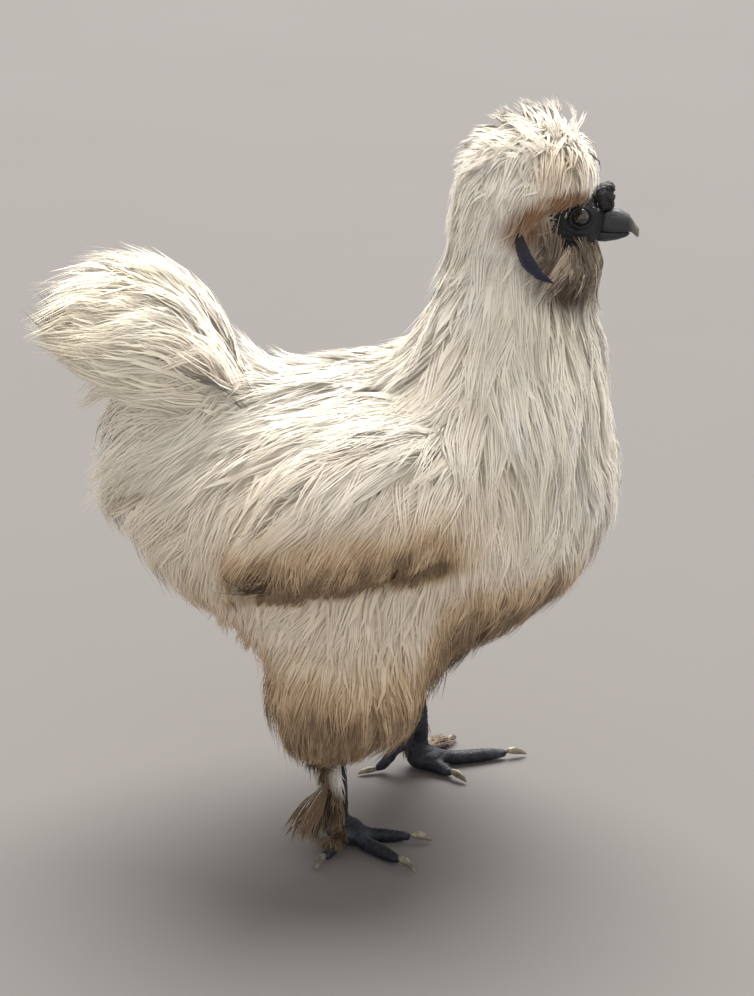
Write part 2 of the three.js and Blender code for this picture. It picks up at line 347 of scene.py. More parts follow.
CREASE_FILL = 11
body_hull = hull_of(BODY_NODES, 4.5, 16)
flank_hull = hull_of(BODY_NODES, 5.0, 16, CREASE_FILL)
full_hull = hull_of(BODY_NODES + WING_NODES, 4.5, 16, CREASE_FILL)
wing_hull = hull_of(["wing_right"], 4.0, 30)
print("hull grids", body_hull.size, full_hull.size, wing_hull.size)

# %% [markdown]
# Under the fluff a silkie is a small, slim bird. The skin follows the flesh: a body about as wide
# as a fist, a thin neck, a vaulted crown that carries the crest, a stub of a tail, and wings and
# thighs tucked in. Only the face, the shanks and the toes are bare, at their full size.

# %% Flesh
FLESH = {
    "body": swell(
        [[-98, 0, 168], [-50, 0, 160], [0, 0, 154], [52, 0, 160], [86, 0, 184]],
        [[34, 28], [57, 50], [63, 61], [57, 58], [34, 36]],
    ),
    "neck": swell(
        [[55, 0, 160], [57, 0, 212], [60, 0, 256], [68, 0, 286]],
        [[44, 44], [36, 36], [21, 24], [18, 20]],
    ),
    "skull": ball([81, 0, 284], [19, 15.5, 14]),
    "crown": swell([[44, 0, 283], [66, 0, 302], [86, 0, 318]], [[19, 17], [22, 20], [17, 14]]),
    "throat": ball([84, 0, 268], [13, 12, 11]),
    "tail": swell([[-58, 0, 188], [-88, 0, 216], [-112, 0, 229]], [[26, 18], [22, 17], [11, 11]]),
}
THIGH_X = {"right": -15, "left": 13}
for side, s in SIDES.items():
    x = THIGH_X[side]
    FLESH["wing_" + side] = swell(
        [[42, 46 * s, 184], [14, 58 * s, 178], [-25, 61 * s, 164], [-60, 55 * s, 142]],
        [[7, 15], [10, 25], [10, 24], [6, 14]],
        across=(0, s, 0.3),
    )
    FLESH["thigh_" + side] = swell(
        [[x + 8, 30 * s, 128], [x + 4, 38 * s, 98], [x - 5, 40 * s, 76], [x - 7, 39 * s, 58]],
        [[18, 32], [17, 27], [13, 18], [8, 9]],
    )
    for node in ("shank_", "foot_"):
        FLESH[node + side] = node_shape(node + side)

SKIN_VOXEL = 1.6
skin = melt("skin", list(FLESH.values()), SKIN_VOXEL)
smooth(skin.data, 5)
print("skin points", len(skin.data.vertices))

# %% [markdown]
# The face and the feet show, so they need finer faces than the skin under the coat. Only the
# faces in those places are cut smaller, and the rest stays as it is.

# %% Finer faces on the head and the feet
LEG_TOP = 58
FACE_MIDDLE = np.array([88, 0, 283])


def cut_finer(obj, inside, cuts):
    edit = bmesh.new()
    edit.from_mesh(obj.data)
    edit.faces.ensure_lookup_table()
    middles = (np.array([f.calc_center_median() for f in edit.faces]) - ORIGIN) / MM
    chosen = [edit.faces[i] for i in np.flatnonzero(inside(middles))]
    edges = list({e for f in chosen for e in f.edges})
    bmesh.ops.subdivide_edges(edit, edges=edges, cuts=cuts, use_grid_fill=True)
    edit.to_mesh(obj.data)
    edit.free()
    obj.data.shade_smooth()


cut_finer(skin, lambda p: (np.linalg.norm(p - FACE_MIDDLE, axis=1) < 25) & (p[:, 0] > 66), 3)
cut_finer(skin, lambda p: p[:, 2] < LEG_TOP, 1)
smooth(skin.data, 2)
print("skin points now", len(skin.data.vertices))

# %% [markdown]
# Folds come from moving points along their normals. Each fold is a smooth bump or groove at some
# distance from a place, and all their heights are summed up first. Uneven waves, made of a few
# sines in random directions, keep the surface from looking machined.

# %% Bumps and ripples
def bump(distance, width):
    return np.exp(-((distance / width) ** 2))


def ripple(points, pitch, seed):
    """Smooth uneven waves between -1 and 1, from a few sines in random directions."""
    draw = np.random.default_rng(seed)
    total = 0
    for _ in range(6):
        way = unit(draw.normal(size=3)) * 2 * np.pi / (pitch * draw.uniform(0.7, 1.5))
        total = total + np.sin(points @ way + draw.uniform(0, 6.3))
    return total / 3.2


print("one millimetre from its middle, a bump 2 wide is", bump(1, 2).round(2), "high")

# %% [markdown]
# Round each eye the skin rises into two lids, the upper one heavier, and sinks beside the eyeball.
# Behind the eye lies the ear's hollow with a low rim, and a groove with two lips runs back from
# the corner of the bill. Both sides of the face are worked out at once, from mirrored points.

# %% Lids, ear and gape
EAR = np.array([70.0, 14.5, 286.5])
GAPE = np.array([[93.0, 6.5, 279.5], [84.0, 12.5, 277.0]])
LID_RADIUS = 4.3
LID_GROOVE = 5.8
LID_WRINKLE = 7.0
FACE_RADIUS = 24

points = points_of(skin.data)
normals = normals_of(skin.data)
push = np.zeros(len(points))
mirrored = points * [1, 0, 1] + np.abs(points) * [0, 1, 0]
gaze = unit(np.array([0.22, 1.0, 0.05]))
from_eye = mirrored - EYE
on_disc = from_eye - dot(from_eye, gaze) * gaze
across_eye = on_disc[:, 0] * 0.86
up_eye = on_disc[:, 2] * 1.12
radius = np.hypot(across_eye, up_eye)
near_eye = ease((from_eye @ gaze + 1) / 3)
upper = ease(up_eye / 3 + 0.3)
push += near_eye * (1.0 + 0.7 * upper) * bump(radius - LID_RADIUS, 0.75)
push -= near_eye * 1.6 * ease((LID_RADIUS - 0.5 - radius) / 1.2)
push -= near_eye * 0.55 * bump(radius - LID_GROOVE, 0.6)
push += near_eye * 0.4 * bump(radius - LID_WRINKLE, 0.8)
from_ear = np.linalg.norm((mirrored - EAR) * [1, 0.7, 1.2], axis=1)
push -= 2.6 * bump(from_ear, 2.6)
push += 0.7 * bump(from_ear - 4.2, 1.0)
gape_way = GAPE[1] - GAPE[0]
along_gape = np.clip((mirrored - GAPE[0]) @ gape_way / (gape_way**2).sum(), 0, 1)
from_gape = np.linalg.norm(mirrored - (GAPE[0] + along_gape[:, None] * gape_way), axis=1)
push += 0.7 * bump(from_gape - 1.5, 0.7) - 0.9 * bump(from_gape, 0.7)
on_face = ease((FACE_RADIUS - np.linalg.norm(points - FACE_MIDDLE, axis=1)) / 6)
push += on_face * (0.16 * ripple(points, 2.2, 1) + 0.1 * ripple(points, 1.1, 2))
print("deepest fold and highest ridge of the face in mm", push.min().round(2), push.max().round(2))

# %% [markdown]
# The shanks and toes carry overlapping plates in front and on top, one every few millimetres. Each
# plate is high at its lower end and dives under the next one, so one power curve that repeats
# gives the row. The sides and the soles have fine grain instead.

# %% Scutes
SCUTE = 2.7
FOOT_OUT = 38
for side, s in SIDES.items():
    low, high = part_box("shank_" + side)
    foot_x = ((low.x + high.x) / 2 - ORIGIN[0]) / MM + 3
    mine = (points[:, 1] * s > 0) & (points[:, 2] < LEG_TOP)
    from_shank = np.hypot(points[:, 0] - foot_x, points[:, 1] - FOOT_OUT * s)
    on_toe = ease((from_shank - 9) / 4)
    row = np.where(on_toe > 0.5, from_shank, points[:, 2]) / SCUTE
    plate = (1 - row % 1) ** 0.6 - 0.6
    topside = np.where(on_toe > 0.5, ease(normals[:, 2] * 2), ease(normals[:, 0] + 0.6))
    grain = 0.16 * ripple(points, 1.9, 3)
    push += mine * ease((LEG_TOP - points[:, 2]) / 6) * (0.42 * plate * topside + grain * (1 - topside))
flat_sole = ease(points[:, 2] / 1.2)
points += normals * (push * np.where(points[:, 2] < LEG_TOP, flat_sole, 1))[:, None]
set_points(skin.data, points)
print("scutes on a shank", round(LEG_TOP / SCUTE))

# %% [markdown]
# Shader maths reads best as plain sums. One small class wraps a socket, its operators add Math
# nodes, and one method makes any other node. Materials are then written almost like sentences.

# %% Shader expressions
X, Y, Z = range(3)


class Shade:
    def __init__(self, tree, socket):
        self.tree = tree
        self.socket = socket

    def node(self, kind, settings=None, values=None, output=0):
        made = self.tree.nodes.new(kind)
        for key, value in (settings or {}).items():
            setattr(made, key, value)
        for key, value in (values or {}).items():
            if isinstance(value, Shade):
                self.tree.links.new(value.socket, made.inputs[key])
            else:
                made.inputs[key].default_value = value
        return Shade(self.tree, made.outputs[output])

    def math(self, operation, *others):
        return self.node("ShaderNodeMath", {"operation": operation}, dict(enumerate(others)))

    def __add__(self, other):
        return self.math("ADD", self, other)

    def __sub__(self, other):
        return self.math("SUBTRACT", self, other)

    def __mul__(self, other):
        return self.math("MULTIPLY", self, other)

    def __truediv__(self, other):
        return self.math("DIVIDE", self, other)

    def __rsub__(self, other):
        return self.math("SUBTRACT", other, self)

    __radd__ = __add__
    __rmul__ = __mul__

    def clamp(self):
        return self.math("MINIMUM", self.math("MAXIMUM", self, 0.0), 1.0)

    def step(self, low, high):
        """0 at low and 1 at high, with a soft start and end."""
        values = {"Value": self, "From Min": low, "From Max": high}
        return self.node("ShaderNodeMapRange", {"interpolation_type": "SMOOTHSTEP"}, values)

    def mix(self, first, second):
        """first where this is 0 and second where it is 1, both colours."""
        values = {0: self, 6: wide(first), 7: wide(second)}
        return self.node("ShaderNodeMix", {"data_type": "RGBA"}, values, 2)

    def vector(self, operation, *others, output=0):
        return self.node("ShaderNodeVectorMath", {"operation": operation}, dict(enumerate(others)), output)

    def noise(self, scale, detail=3.0):
        return self.node("ShaderNodeTexNoise", None, {"Vector": self, "Scale": scale, "Detail": detail})

    def stored(self, label):
        """A number that was stored on the mesh's points."""
        return self.node("ShaderNodeAttribute", {"attribute_name": label}, output=2)

    def cells(self, scale):
        return self.node("ShaderNodeTexVoronoi", None, {"Vector": self, "Scale": scale})

    def coordinate(self, axis):
        """One coordinate of a position, in the bird's millimetres."""
        metres = self.node("ShaderNodeSeparateXYZ", None, {0: self}, axis)
        return (metres - float(ORIGIN[axis])) / MM


def wide(color):
    return color if isinstance(color, Shade) else (*color, 1.0)


def place_m(x, y, z):
    """A place in the bird's millimetres, as the metres that shaders see."""
    return tuple(np.array([x, y, z]) * MM + ORIGIN)


def finish(name, paint):
    """A material whose Principled sockets are set by what paint(start, position) returns."""
    made = bpy.data.materials.new(name)
    made.use_nodes = True
    tree = made.node_tree
    shader = tree.nodes["Principled BSDF"]
    start = Shade(tree, None)
    position = start.node("ShaderNodeTexCoord", output=3)
    for key, value in paint(start, position).items():
        if isinstance(value, Shade):
            tree.links.new(value.socket, shader.inputs[key])
        else:
            shader.inputs[key].default_value = value
    return made


def relief(height, depth):
    return height.node("ShaderNodeBump", None, {"Strength": 1.0, "Distance": depth, "Height": height})


def with_both_sides(position):
    """The position with the bird's left side folded onto its right side."""
    plain = position.vector("MULTIPLY", position, (1, 0, 1))
    outward = position.vector("MULTIPLY", position.vector("ABSOLUTE", position), (0, -1, 0))
    return plain.vector("ADD", plain, outward)


def blob(position, centre, half, soft):
    """1 inside an ellipsoid and 0 outside it, soft over a share of its size."""
    away = position.vector("SUBTRACT", position, place_m(*centre))
    away = away.vector("DIVIDE", away, tuple(h * MM for h in half))
    size = away.vector("LENGTH", away, output=1)
    return size.step(1 + soft, 1 - soft)


print("shader toolbox ready")

# %% [markdown]
# The bird is cream white, but it has walked through wet dirt. The beard is dark and wet, rust
# runs below the crest and round the ear, and the wing's lower edge and the thighs' fringe are
# stained brown. The keel is stained too and painted darker as shade under the breast, and a dark
# line of painted shadow runs under the wing's edge. These marks belong to places on the body, so
# the skin and every coat piece work them out from position with the same function, and they always agree.

# %% Markings
WHITE = (0.94, 0.91, 0.86)
CREAM = (0.85, 0.74, 0.58)
WORN = (0.80, 0.67, 0.50)
TAIL_CREAM = (0.92, 0.83, 0.64)
TAN = (0.62, 0.44, 0.25)
# The two browns below are dirt, and they also carry painted shade under the wing's edge and under the
# breast.
SOIL_AND_SHADE = (0.58, 0.41, 0.25)
STAIN_AND_SHADE = (0.16, 0.095, 0.052)
RUST = (0.24, 0.115, 0.05)
WET = (0.058, 0.037, 0.028)
WET_PALE = (0.50, 0.40, 0.31)
EDGE_HEIGHT = 139  # of the wing's lower edge in mm, 20 mm behind the bird's middle
EDGE_RISE = 0.21  # of that edge, for each mm forwards


def markings(position, tint):
    """The plumage colour at a place, with a tint from 0 to 1 that differs from lock to lock."""
    folded = with_both_sides(position)
    cloud = position.noise(22.0)
    fine = position.noise(90.0)
    x, z = position.coordinate(X), position.coordinate(Z)
    side = folded.coordinate(Y)
    color = (cloud * 0.9 + tint * 0.5 - 0.2).clamp().mix(CREAM, WHITE)
    tail = x.step(-70, -115) * z.step(195, 225) * (0.35 + 0.5 * fine)
    low = z.step(205, 150) * x.step(95, 40)
    color = (low * (0.3 + 0.5 * fine)).mix(color, WORN)
    color = tail.mix(color, TAIL_CREAM)
    # Dirt lies along the wing's edge, round the legs and behind. Painted shadow runs under the wing's edge,
    # and the keel's brown is stain with painted shade.
    uneven = (fine * 0.9 + tint * 0.7 - 0.35).clamp()
    edge = z - (x + 20) * EDGE_RISE - EDGE_HEIGHT
    wing = edge.step(42, -2) * edge.step(-12, -5) * side.step(-56, -64) * x.step(-92, -66) * x.step(60, 5)
    below = edge - (x + 20) * 0.055
    # Painted shadow: a dark line just under the wing's edge, where the wing overhangs the flank.
    contact_shadow = below.step(1, -3) * below.step(-9, -6) * side.step(-46, -54) * x.step(-84, -66) * x.step(42, 8)
    # The keel's brown is a real stain, and also painted shade under the breast.
    keel_stain_and_shade = z.step(150, 104) * x.step(14, 44)
    fringe = z.step(120, 62) * x.step(70, 30)
    hem = z.step(165, 95) * x.step(-40, -80) * 0.45
    stain_and_shade = wing + contact_shadow * 1.1 + keel_stain_and_shade * 0.95 + fringe * 0.9 + hem
    stain_and_shade = (stain_and_shade * (0.55 + 0.9 * uneven)).clamp()
    color = stain_and_shade.step(0, 0.62).mix(color, SOIL_AND_SHADE)
    color = stain_and_shade.step(0.45, 1.0).mix(color, STAIN_AND_SHADE)
    # The crest has a tan patch on its side, and rust runs along the brow and round the ear.
    patch = blob(folded, (79, -28, 309), (15, 16, 13), 0.5)
    color = (patch * (0.15 + 0.6 * uneven)).clamp().mix(color, TAN)
    brow = blob(folded, (84, -26, 295), (24, 18, 6), 0.5)
    ear = blob(folded, (67, -27, 284), (14, 14, 9), 0.5)
    color = ((brow + ear) * (0.55 + 0.9 * uneven)).clamp().mix(color, RUST)
    # The wet beard is dark, with single locks that have dried.
    beard = blob(folded, (83, 0, 267), (23, 40, 24), 0.3)
    wet = (tint * 3.5 - 1.9).clamp().mix(WET, WET_PALE)
    return (beard * (0.75 + 0.6 * fine)).clamp().mix(color, wet)


# Painted shade: strands are painted darker and browner towards their roots, deep in the coat.
ROOT_SHADE = (0.66, 0.52, 0.36)
# Painted glow: the coat gives off a little light in its own colour, standing in for light scattered through
# the down.
PAINTED_GLOW = 0.11  # light that has scattered through the down instead of bouncing off it


def paint_plumage(start, position):
    tint, along = start.stored("tint"), start.stored("along")
    color = markings(position, tint)
    # Painted shade towards each strand's root.
    color = ((1 - along) * 0.3).mix(color, ROOT_SHADE)
    return {
        "Base Color": color,
        # Painted glow, in the coat's own colour.
        "Emission Color": color,
        "Emission Strength": PAINTED_GLOW,
        "Roughness": 0.55 + 0.2 * tint,
        "Specular IOR Level": 0.2,
        "Sheen Weight": 0.12,
        "Sheen Roughness": 0.6,
    }


plumage = finish("silky_plumage", paint_plumage)
print("material", plumage.name)

# %% [markdown]
# The bare face of a silkie is blackish blue, and so are its shanks and toes. The skin's material
# blends from that slate colour to the coat's own colours where the feathers begin.

# %% Skin material
SLATE = (0.006, 0.007, 0.009)
SLATE_LIGHT = (0.018, 0.021, 0.025)
LEG_DARK = (0.010, 0.012, 0.019)
LEG_WORN = (0.050, 0.056, 0.072)


def paint_skin(start, position):
    folded = with_both_sides(position)
    cloud = position.noise(120.0, 4.0)
    grain = position.noise(900.0, 2.0)
    z = position.coordinate(Z)
    face = blob(folded, (90, -8, 283), (22, 16, 13), 0.12)
    leg = z.step(72, 62)
    pits = position.cells(1300.0)
    face_color = cloud.step(0.35, 0.75).mix(SLATE, SLATE_LIGHT)
    leg_color = (cloud * 0.7 + grain * 0.3).step(0.42, 0.8).mix(LEG_DARK, LEG_WORN)
    color = face.mix(markings(position, cloud), face_color)
    return {
        "Base Color": leg.mix(color, leg_color),
        "Roughness": 0.7 - 0.2 * (face + leg).clamp() + 0.1 * grain,
        "Specular IOR Level": 0.35,
        "Normal": relief(pits * 0.6 + grain, 0.00022),
    }


skin.data.materials.append(finish("bare_skin", paint_skin))

# %% [markdown]
# The horn, the comb and the lobes are small, and they show at full size. Each starts from its own
# node, melted very finely, and gets the furrows, knobs and pores that a person would see.

# %% Horn, comb and lobes
def refine(node, name, voxel, rounds, grow=0.0):
    """A fine, smooth copy of a node, swollen a little to make up for the smoothing."""
    obj = melt(name, [node_shape(node)], voxel)
    smooth(obj.data, rounds)
    set_points(obj.data, points_of(obj.data) + normals_of(obj.data) * grow)
    return obj


def knobs(points, spacing, seed):
    """Round lumps: 1 at the middle of each lump and 0 in the furrows between them."""
    draw = np.random.default_rng(seed)
    low, high = points.min(0) - spacing, points.max(0) + spacing
    count = int(np.prod((high - low) / spacing))
    seeds = KDTree(count)
    for i, p in enumerate(draw.uniform(low, high, (count, 3))):
        seeds.insert(p, i)
    seeds.balance()
    gap = np.array([[hit[2] for hit in seeds.find_n(p, 2)] for p in points])
    return np.clip((gap[:, 1] - gap[:, 0]) / spacing, 0, 1)


NOSTRIL = np.array([102.5, 4.3, 286.6])
horn = {"upper": refine("bill_upper", "horn_upper", 0.35, 8, 0.12)}
horn["lower"] = refine("bill_lower", "horn_lower", 0.35, 8, 0.12)
p = points_of(horn["upper"].data)
n = normals_of(horn["upper"].data)
from_nostril = (p * [1, 0, 1] + np.abs(p) * [0, 1, 0] - NOSTRIL) * [0.55, 0.8, 1.5]
culmen = ease(n[:, 2] * 1.6 - 0.6) * bump(p[:, 1], 0.9)
lift = -0.9 * bump(np.linalg.norm(from_nostril, axis=1), 0.75)
lift += 0.25 * bump(np.linalg.norm(from_nostril - [0, 0, 1.3], axis=1), 0.8)
lift += 0.22 * culmen + 0.05 * ripple(p * [1, 0.3, 0.3], 1.6, 5)
set_points(horn["upper"].data, p + n * lift[:, None])

comb = refine("comb", "comb_flesh", 0.4, 4, 0.1)
p = points_of(comb.data)
lumps = knobs(p, 2.6, 8) * 0.75 + 0.35 * knobs(p, 1.3, 9)
set_points(comb.data, p + normals_of(comb.data) * (lumps[:, None] - 0.35))

LOBE_NARROW = 0.66
LOBE_BEND = 0.012


def crescent(points):
    """A long leaf made narrower, with both its ends bent forwards."""
    middle = points.mean(0)
    _, _, axes = np.linalg.svd(points - middle, full_matrices=False)
    back = axes[1] * np.sign(-axes[1][0])
    along = (points - middle) @ axes[0]
    across = (points - middle) @ back
    shift = across * (LOBE_NARROW - 1) - LOBE_BEND * (along**2 - (along**2).mean())
    return points + shift[:, None] * back


lobes = {}
for side in SIDES:
    lobes[side] = refine("earlobe_" + side, "lobe_" + side, 0.4, 6, 0.2)
    p = crescent(points_of(lobes[side].data))
    set_points(lobes[side].data, p)
    wrinkle = 0.14 * ripple(p, 2.4, 11) + 0.08 * ripple(p, 1.0, 12)
    set_points(lobes[side].data, p + normals_of(lobes[side].data) * wrinkle[:, None])
print("bill points", len(horn["upper"].data.vertices), "comb points", len(comb.data.vertices))


# %% Horn, comb and lobe materials
HORN_DARK = (0.012, 0.013, 0.016)
HORN_GREY = (0.037, 0.041, 0.048)
# A painted highlight along the top ridge of the bill:
HORN_RIDGE_HIGHLIGHT = (0.26, 0.27, 0.27)
HORN_TIP = (0.36, 0.32, 0.26)
COMB_DARK = (0.006, 0.004, 0.007)
COMB_PLUM = (0.022, 0.014, 0.021)
# The lobe's top is painted dark as shade, and its lower end bluer and lighter as painted light.
LOBE_SHADE = (0.010, 0.008, 0.014)
LOBE_BLUE = (0.010, 0.011, 0.040)
LOBE_PALE = (0.022, 0.024, 0.065)


def paint_bill(start, position):
    x, z = position.coordinate(X), position.coordinate(Z)
    streak = position.vector("MULTIPLY", position, (0.35, 1.0, 1.6)).noise(600.0, 3.0)
    # Painted highlight: the bill is painted paler along its ridge.
    ridge = (z + (x - 100) * 0.28).step(286.0, 290.0)
    tip = x.step(109, 115)
    color = (streak * 0.9).mix(HORN_DARK, HORN_GREY)
    color = (ridge * 0.4).mix(color, HORN_RIDGE_HIGHLIGHT)
    color = (tip * 0.6).mix(color, HORN_TIP)
    return {"Base Color": color, "Roughness": 0.34 + 0.2 * streak, "Normal": relief(streak, 0.00012)}


def paint_comb(start, position):
    cloud = position.noise(300.0, 4.0)
    pits = position.cells(1500.0)
    color = cloud.step(0.35, 0.7).mix(COMB_DARK, COMB_PLUM)
    return {"Base Color": color, "Roughness": 0.42 + 0.2 * cloud, "Normal": relief(pits, 0.0002)}


def paint_lobe(start, position):
    cloud = position.noise(260.0, 4.0)
    # Painted light and shade: darker towards the top, bluer and lighter towards the lower end.
    low = position.coordinate(Z).step(284, 268)
    color = low.mix(LOBE_SHADE, LOBE_BLUE)
    color = cloud.step(0.55, 0.8).mix(color, LOBE_PALE)
    return {"Base Color": color, "Roughness": 0.5 + 0.15 * cloud, "Normal": relief(cloud, 0.0003)}


def paint_parts(parts, material):
    for part in parts:
        part.data.materials.append(material)


paint_parts(horn.values(), finish("smooth_horn", paint_bill))
paint_parts([comb], finish("knobbed_flesh", paint_comb))
paint_parts(lobes.values(), finish("blue_flesh", paint_lobe))
print("lobes", [part.name for part in lobes.values()])

# %% [markdown]
# An eye is a ball with a dark brown iris round a black pupil, under a clear wet surface. The ring
# pattern depends only on the angle from the gaze, so that angle is stored on the mesh itself.

# %% Eyes
CORNEA_EDGE = 38  # degrees from the gaze, as are the next two
PUPIL_EDGE = 20
IRIS_EDGE = 40
CORNEA_RISE = 0.45
PUPIL_BLACK = (0.002, 0.002, 0.002)
IRIS_BROWN = (0.020, 0.010, 0.007)
EYE_RIM = (0.02, 0.016, 0.016)


def make_eye(side, s):
    mesh = bpy.data.meshes.new("eyeball_" + side)
    edit = bmesh.new()
    bmesh.ops.create_uvsphere(edit, u_segments=72, v_segments=48, radius=EYE_RADIUS * MM)
    edit.to_mesh(mesh)
    edit.free()
    mesh.shade_smooth()
    middle = EYE * [1, s, 1]
    ball_points = read(mesh.vertices, "co") / MM
    toward = unit(gaze * [1, s, 1])
    angle = np.degrees(np.arccos(np.clip(unit(ball_points) @ toward, -1, 1)))
    cornea = CORNEA_RISE * ease((CORNEA_EDGE - angle) / 20)
    set_points(mesh, ball_points + unit(ball_points) * (cornea[:, None] - CORNEA_RISE) + middle)
    store(mesh, "ring", angle)
    return in_scene("eyeball_" + side, mesh)


def paint_eye(start, position):
    ring = start.stored("ring")
    spokes = position.noise(1500.0, 2.0)
    iris = (ring + spokes * 5).step(PUPIL_EDGE, PUPIL_EDGE + 3)
    rim = ring.step(IRIS_EDGE, IRIS_EDGE + 6)
    color = iris.mix(PUPIL_BLACK, IRIS_BROWN)
    return {
        "Base Color": rim.mix(color, EYE_RIM),
        "Roughness": 0.12,
        "Coat Weight": 1.0,
        "Coat Roughness": 0.03,
    }


eyes = {side: make_eye(side, s) for side, s in SIDES.items()}
paint_parts(eyes.values(), finish("wet_eye", paint_eye))
print("eyes", [e.name for e in eyes.values()])

# %% [markdown]
# The claws are worn horn, dark at the root and yellowish at the tip, with fine lines along them.

# %% Claws
TOES = ["inner", "middle", "outer", "hind", "fifth"]
CLAW_DARK = (0.07, 0.062, 0.05)
CLAW_WORN = (0.46, 0.41, 0.30)


def paint_claw(start, position):
    streak = position.noise(900.0, 3.0)
    worn = (position.noise(160.0) + streak * 0.3).step(0.45, 1.0)
    color = worn.mix(CLAW_DARK, CLAW_WORN)
    return {"Base Color": color, "Roughness": 0.36 + 0.2 * streak, "Normal": relief(streak, 0.0001)}


claws = {}
for side in SIDES:
    for toe in TOES:
        key = f"{toe}_{side}"
        claws[key] = refine("claw_" + key, "nail_" + key, 0.3, 5, 0.08)
paint_parts(claws.values(), finish("worn_horn", paint_claw))
print("claws", len(claws))

# %% [markdown]
# Now the coat. A silkie's feathers have no hooks to hold them together, so each one falls apart
# into soft threads that cling in tapered locks. A style says how the locks of one place differ
# from the body's. Sizes are in millimetres, and most of them are spread at random about a mean.

# %% The style of a lock
@dataclass
class Lock:
    length: tuple = (36, 54)  # shortest and longest midline
    strands: int = 11
    width: float = 0.68  # of one strand
    rings: int = 3
    root: float = 2.6  # half the lock's width at the skin
    belly: float = 0.8  # how much it swells halfway
    tip: float = 0.6  # half its width at the tip
    vane: float = 0.0  # how far strands leave the midline sideways, as barbs leave a quill
    stagger: float = 0.15  # up to where along the midline a strand may begin
    stray: float = 3.0  # how far single strands drift off at their tips
    bow: float = 1.3  # how far a whole lock curves sideways
    wave: float = 0.7  # how far its strands wave
    level: tuple = (-6.0, 0.0)  # depth below the hull at the tip
    over: tuple = (0.0, 5.0)  # how far outside the hull a tip may reach
    rise: float = 2.0  # how early it climbs to that level
    lift: float = 0.7  # steepest climb
    hold: float = 0.25  # how stiffly it keeps to its own side instead of wrapping round
    along_lie: bool = False  # it leaves the skin square to its lie, so it never wraps round
    jitter: float = 11.0  # degrees that single locks turn off the lie
    swirl: float = 9.0  # degrees that whole patches turn off the lie
    crowd: int = 5  # locks in a clump
    cling: float = 0.45  # how far their tips draw together
    from_above: float = 0.25  # light that sinks in from above, so undersides are never dark


BODY_LOCK = Lock()
print("a body lock has", BODY_LOCK.strands, "strands up to", BODY_LOCK.length[1], "mm long")

# %% [markdown]
# A lock is made as a midline first. The midline leaves the skin, rises through the depth of the
# coat, bends over and runs on along the lie of the feathers, just under the hull. It is walked in
# a few steps, all locks at once. Some locks end a few millimetres outside, as loose tips.

# %% Midlines of the locks
STEPS = 8


def trace(roots, outward, lie, hull, style):
    """Midlines and their outward directions, shortened where they would leave the hull."""
    count = len(roots)
    length = rng.uniform(*style.length, count)
    level = rng.uniform(*style.level, count)
    over = rng.uniform(*style.over, count)
    turn = np.radians(rng.normal(0, style.jitter, count))[:, None]
    path, _ = follow(roots, outward, lie, hull, style, length, level, turn)
    beyond = np.stack([hull.at(path[:, k]) for k in range(STEPS + 1)], 1) > over[:, None]
    beyond[:, :2] = False
    cut = beyond.any(1)
    first = np.where(cut, beyond.argmax(1) - 0.3, STEPS)
    return follow(roots, outward, lie, hull, style, length * first / STEPS, level, turn)


def follow(roots, outward, lie, hull, style, length, level, turn):
    here = roots.copy()
    path, outs = [here], [outward]
    start = hull.at(here)
    pace = (length / STEPS)[:, None]
    wave = np.radians(style.swirl)
    for k in range(STEPS):
        t = (k + 1) / STEPS
        out = unit(hull.out(here) * (1 - style.hold) + outward * style.hold)
        target = start + (level - start) * (1 - (1 - t) ** style.rise)
        climb = np.clip((target - hull.at(here))[:, None] / pace, -0.6, style.lift)
        way = lie(here)
        way = unit(way - dot(way, out) * out)
        angle = turn + (wave * ripple(here, 38, 17))[:, None]
        way = way * np.cos(angle) + np.cross(out, way) * np.sin(angle)
        here = here + (out * climb + way * np.sqrt(1 - climb**2)) * pace
        path.append(here)
        outs.append(out)
    return np.stack(path, 1), np.stack(outs, 1)


print("steps of a midline", STEPS)

# %% [markdown]
# Each midline then carries a handful of strands. A strand is a thin flattened spike with three
# edges and a closed root and tip. The strands start spread over the skin, stay side by side and
# close up at the tip, and a few drift off, so that a lock looks combed but not stiff.

# %% Strands beside a midline
SHORTEST_STRAND = 0.72  # as a share of its lock's length


def along_path(values, t):
    """Values kept at even steps of each midline, read at t from 0 to 1."""
    steps = values.shape[1] - 1
    place = np.clip(t * steps, 0, steps - 1e-6)
    i = place.astype(int)
    f = (place - i)[..., None]
    row = np.arange(len(values))[:, None]
    return values[row, i] * (1 - f) + values[row, i + 1] * f


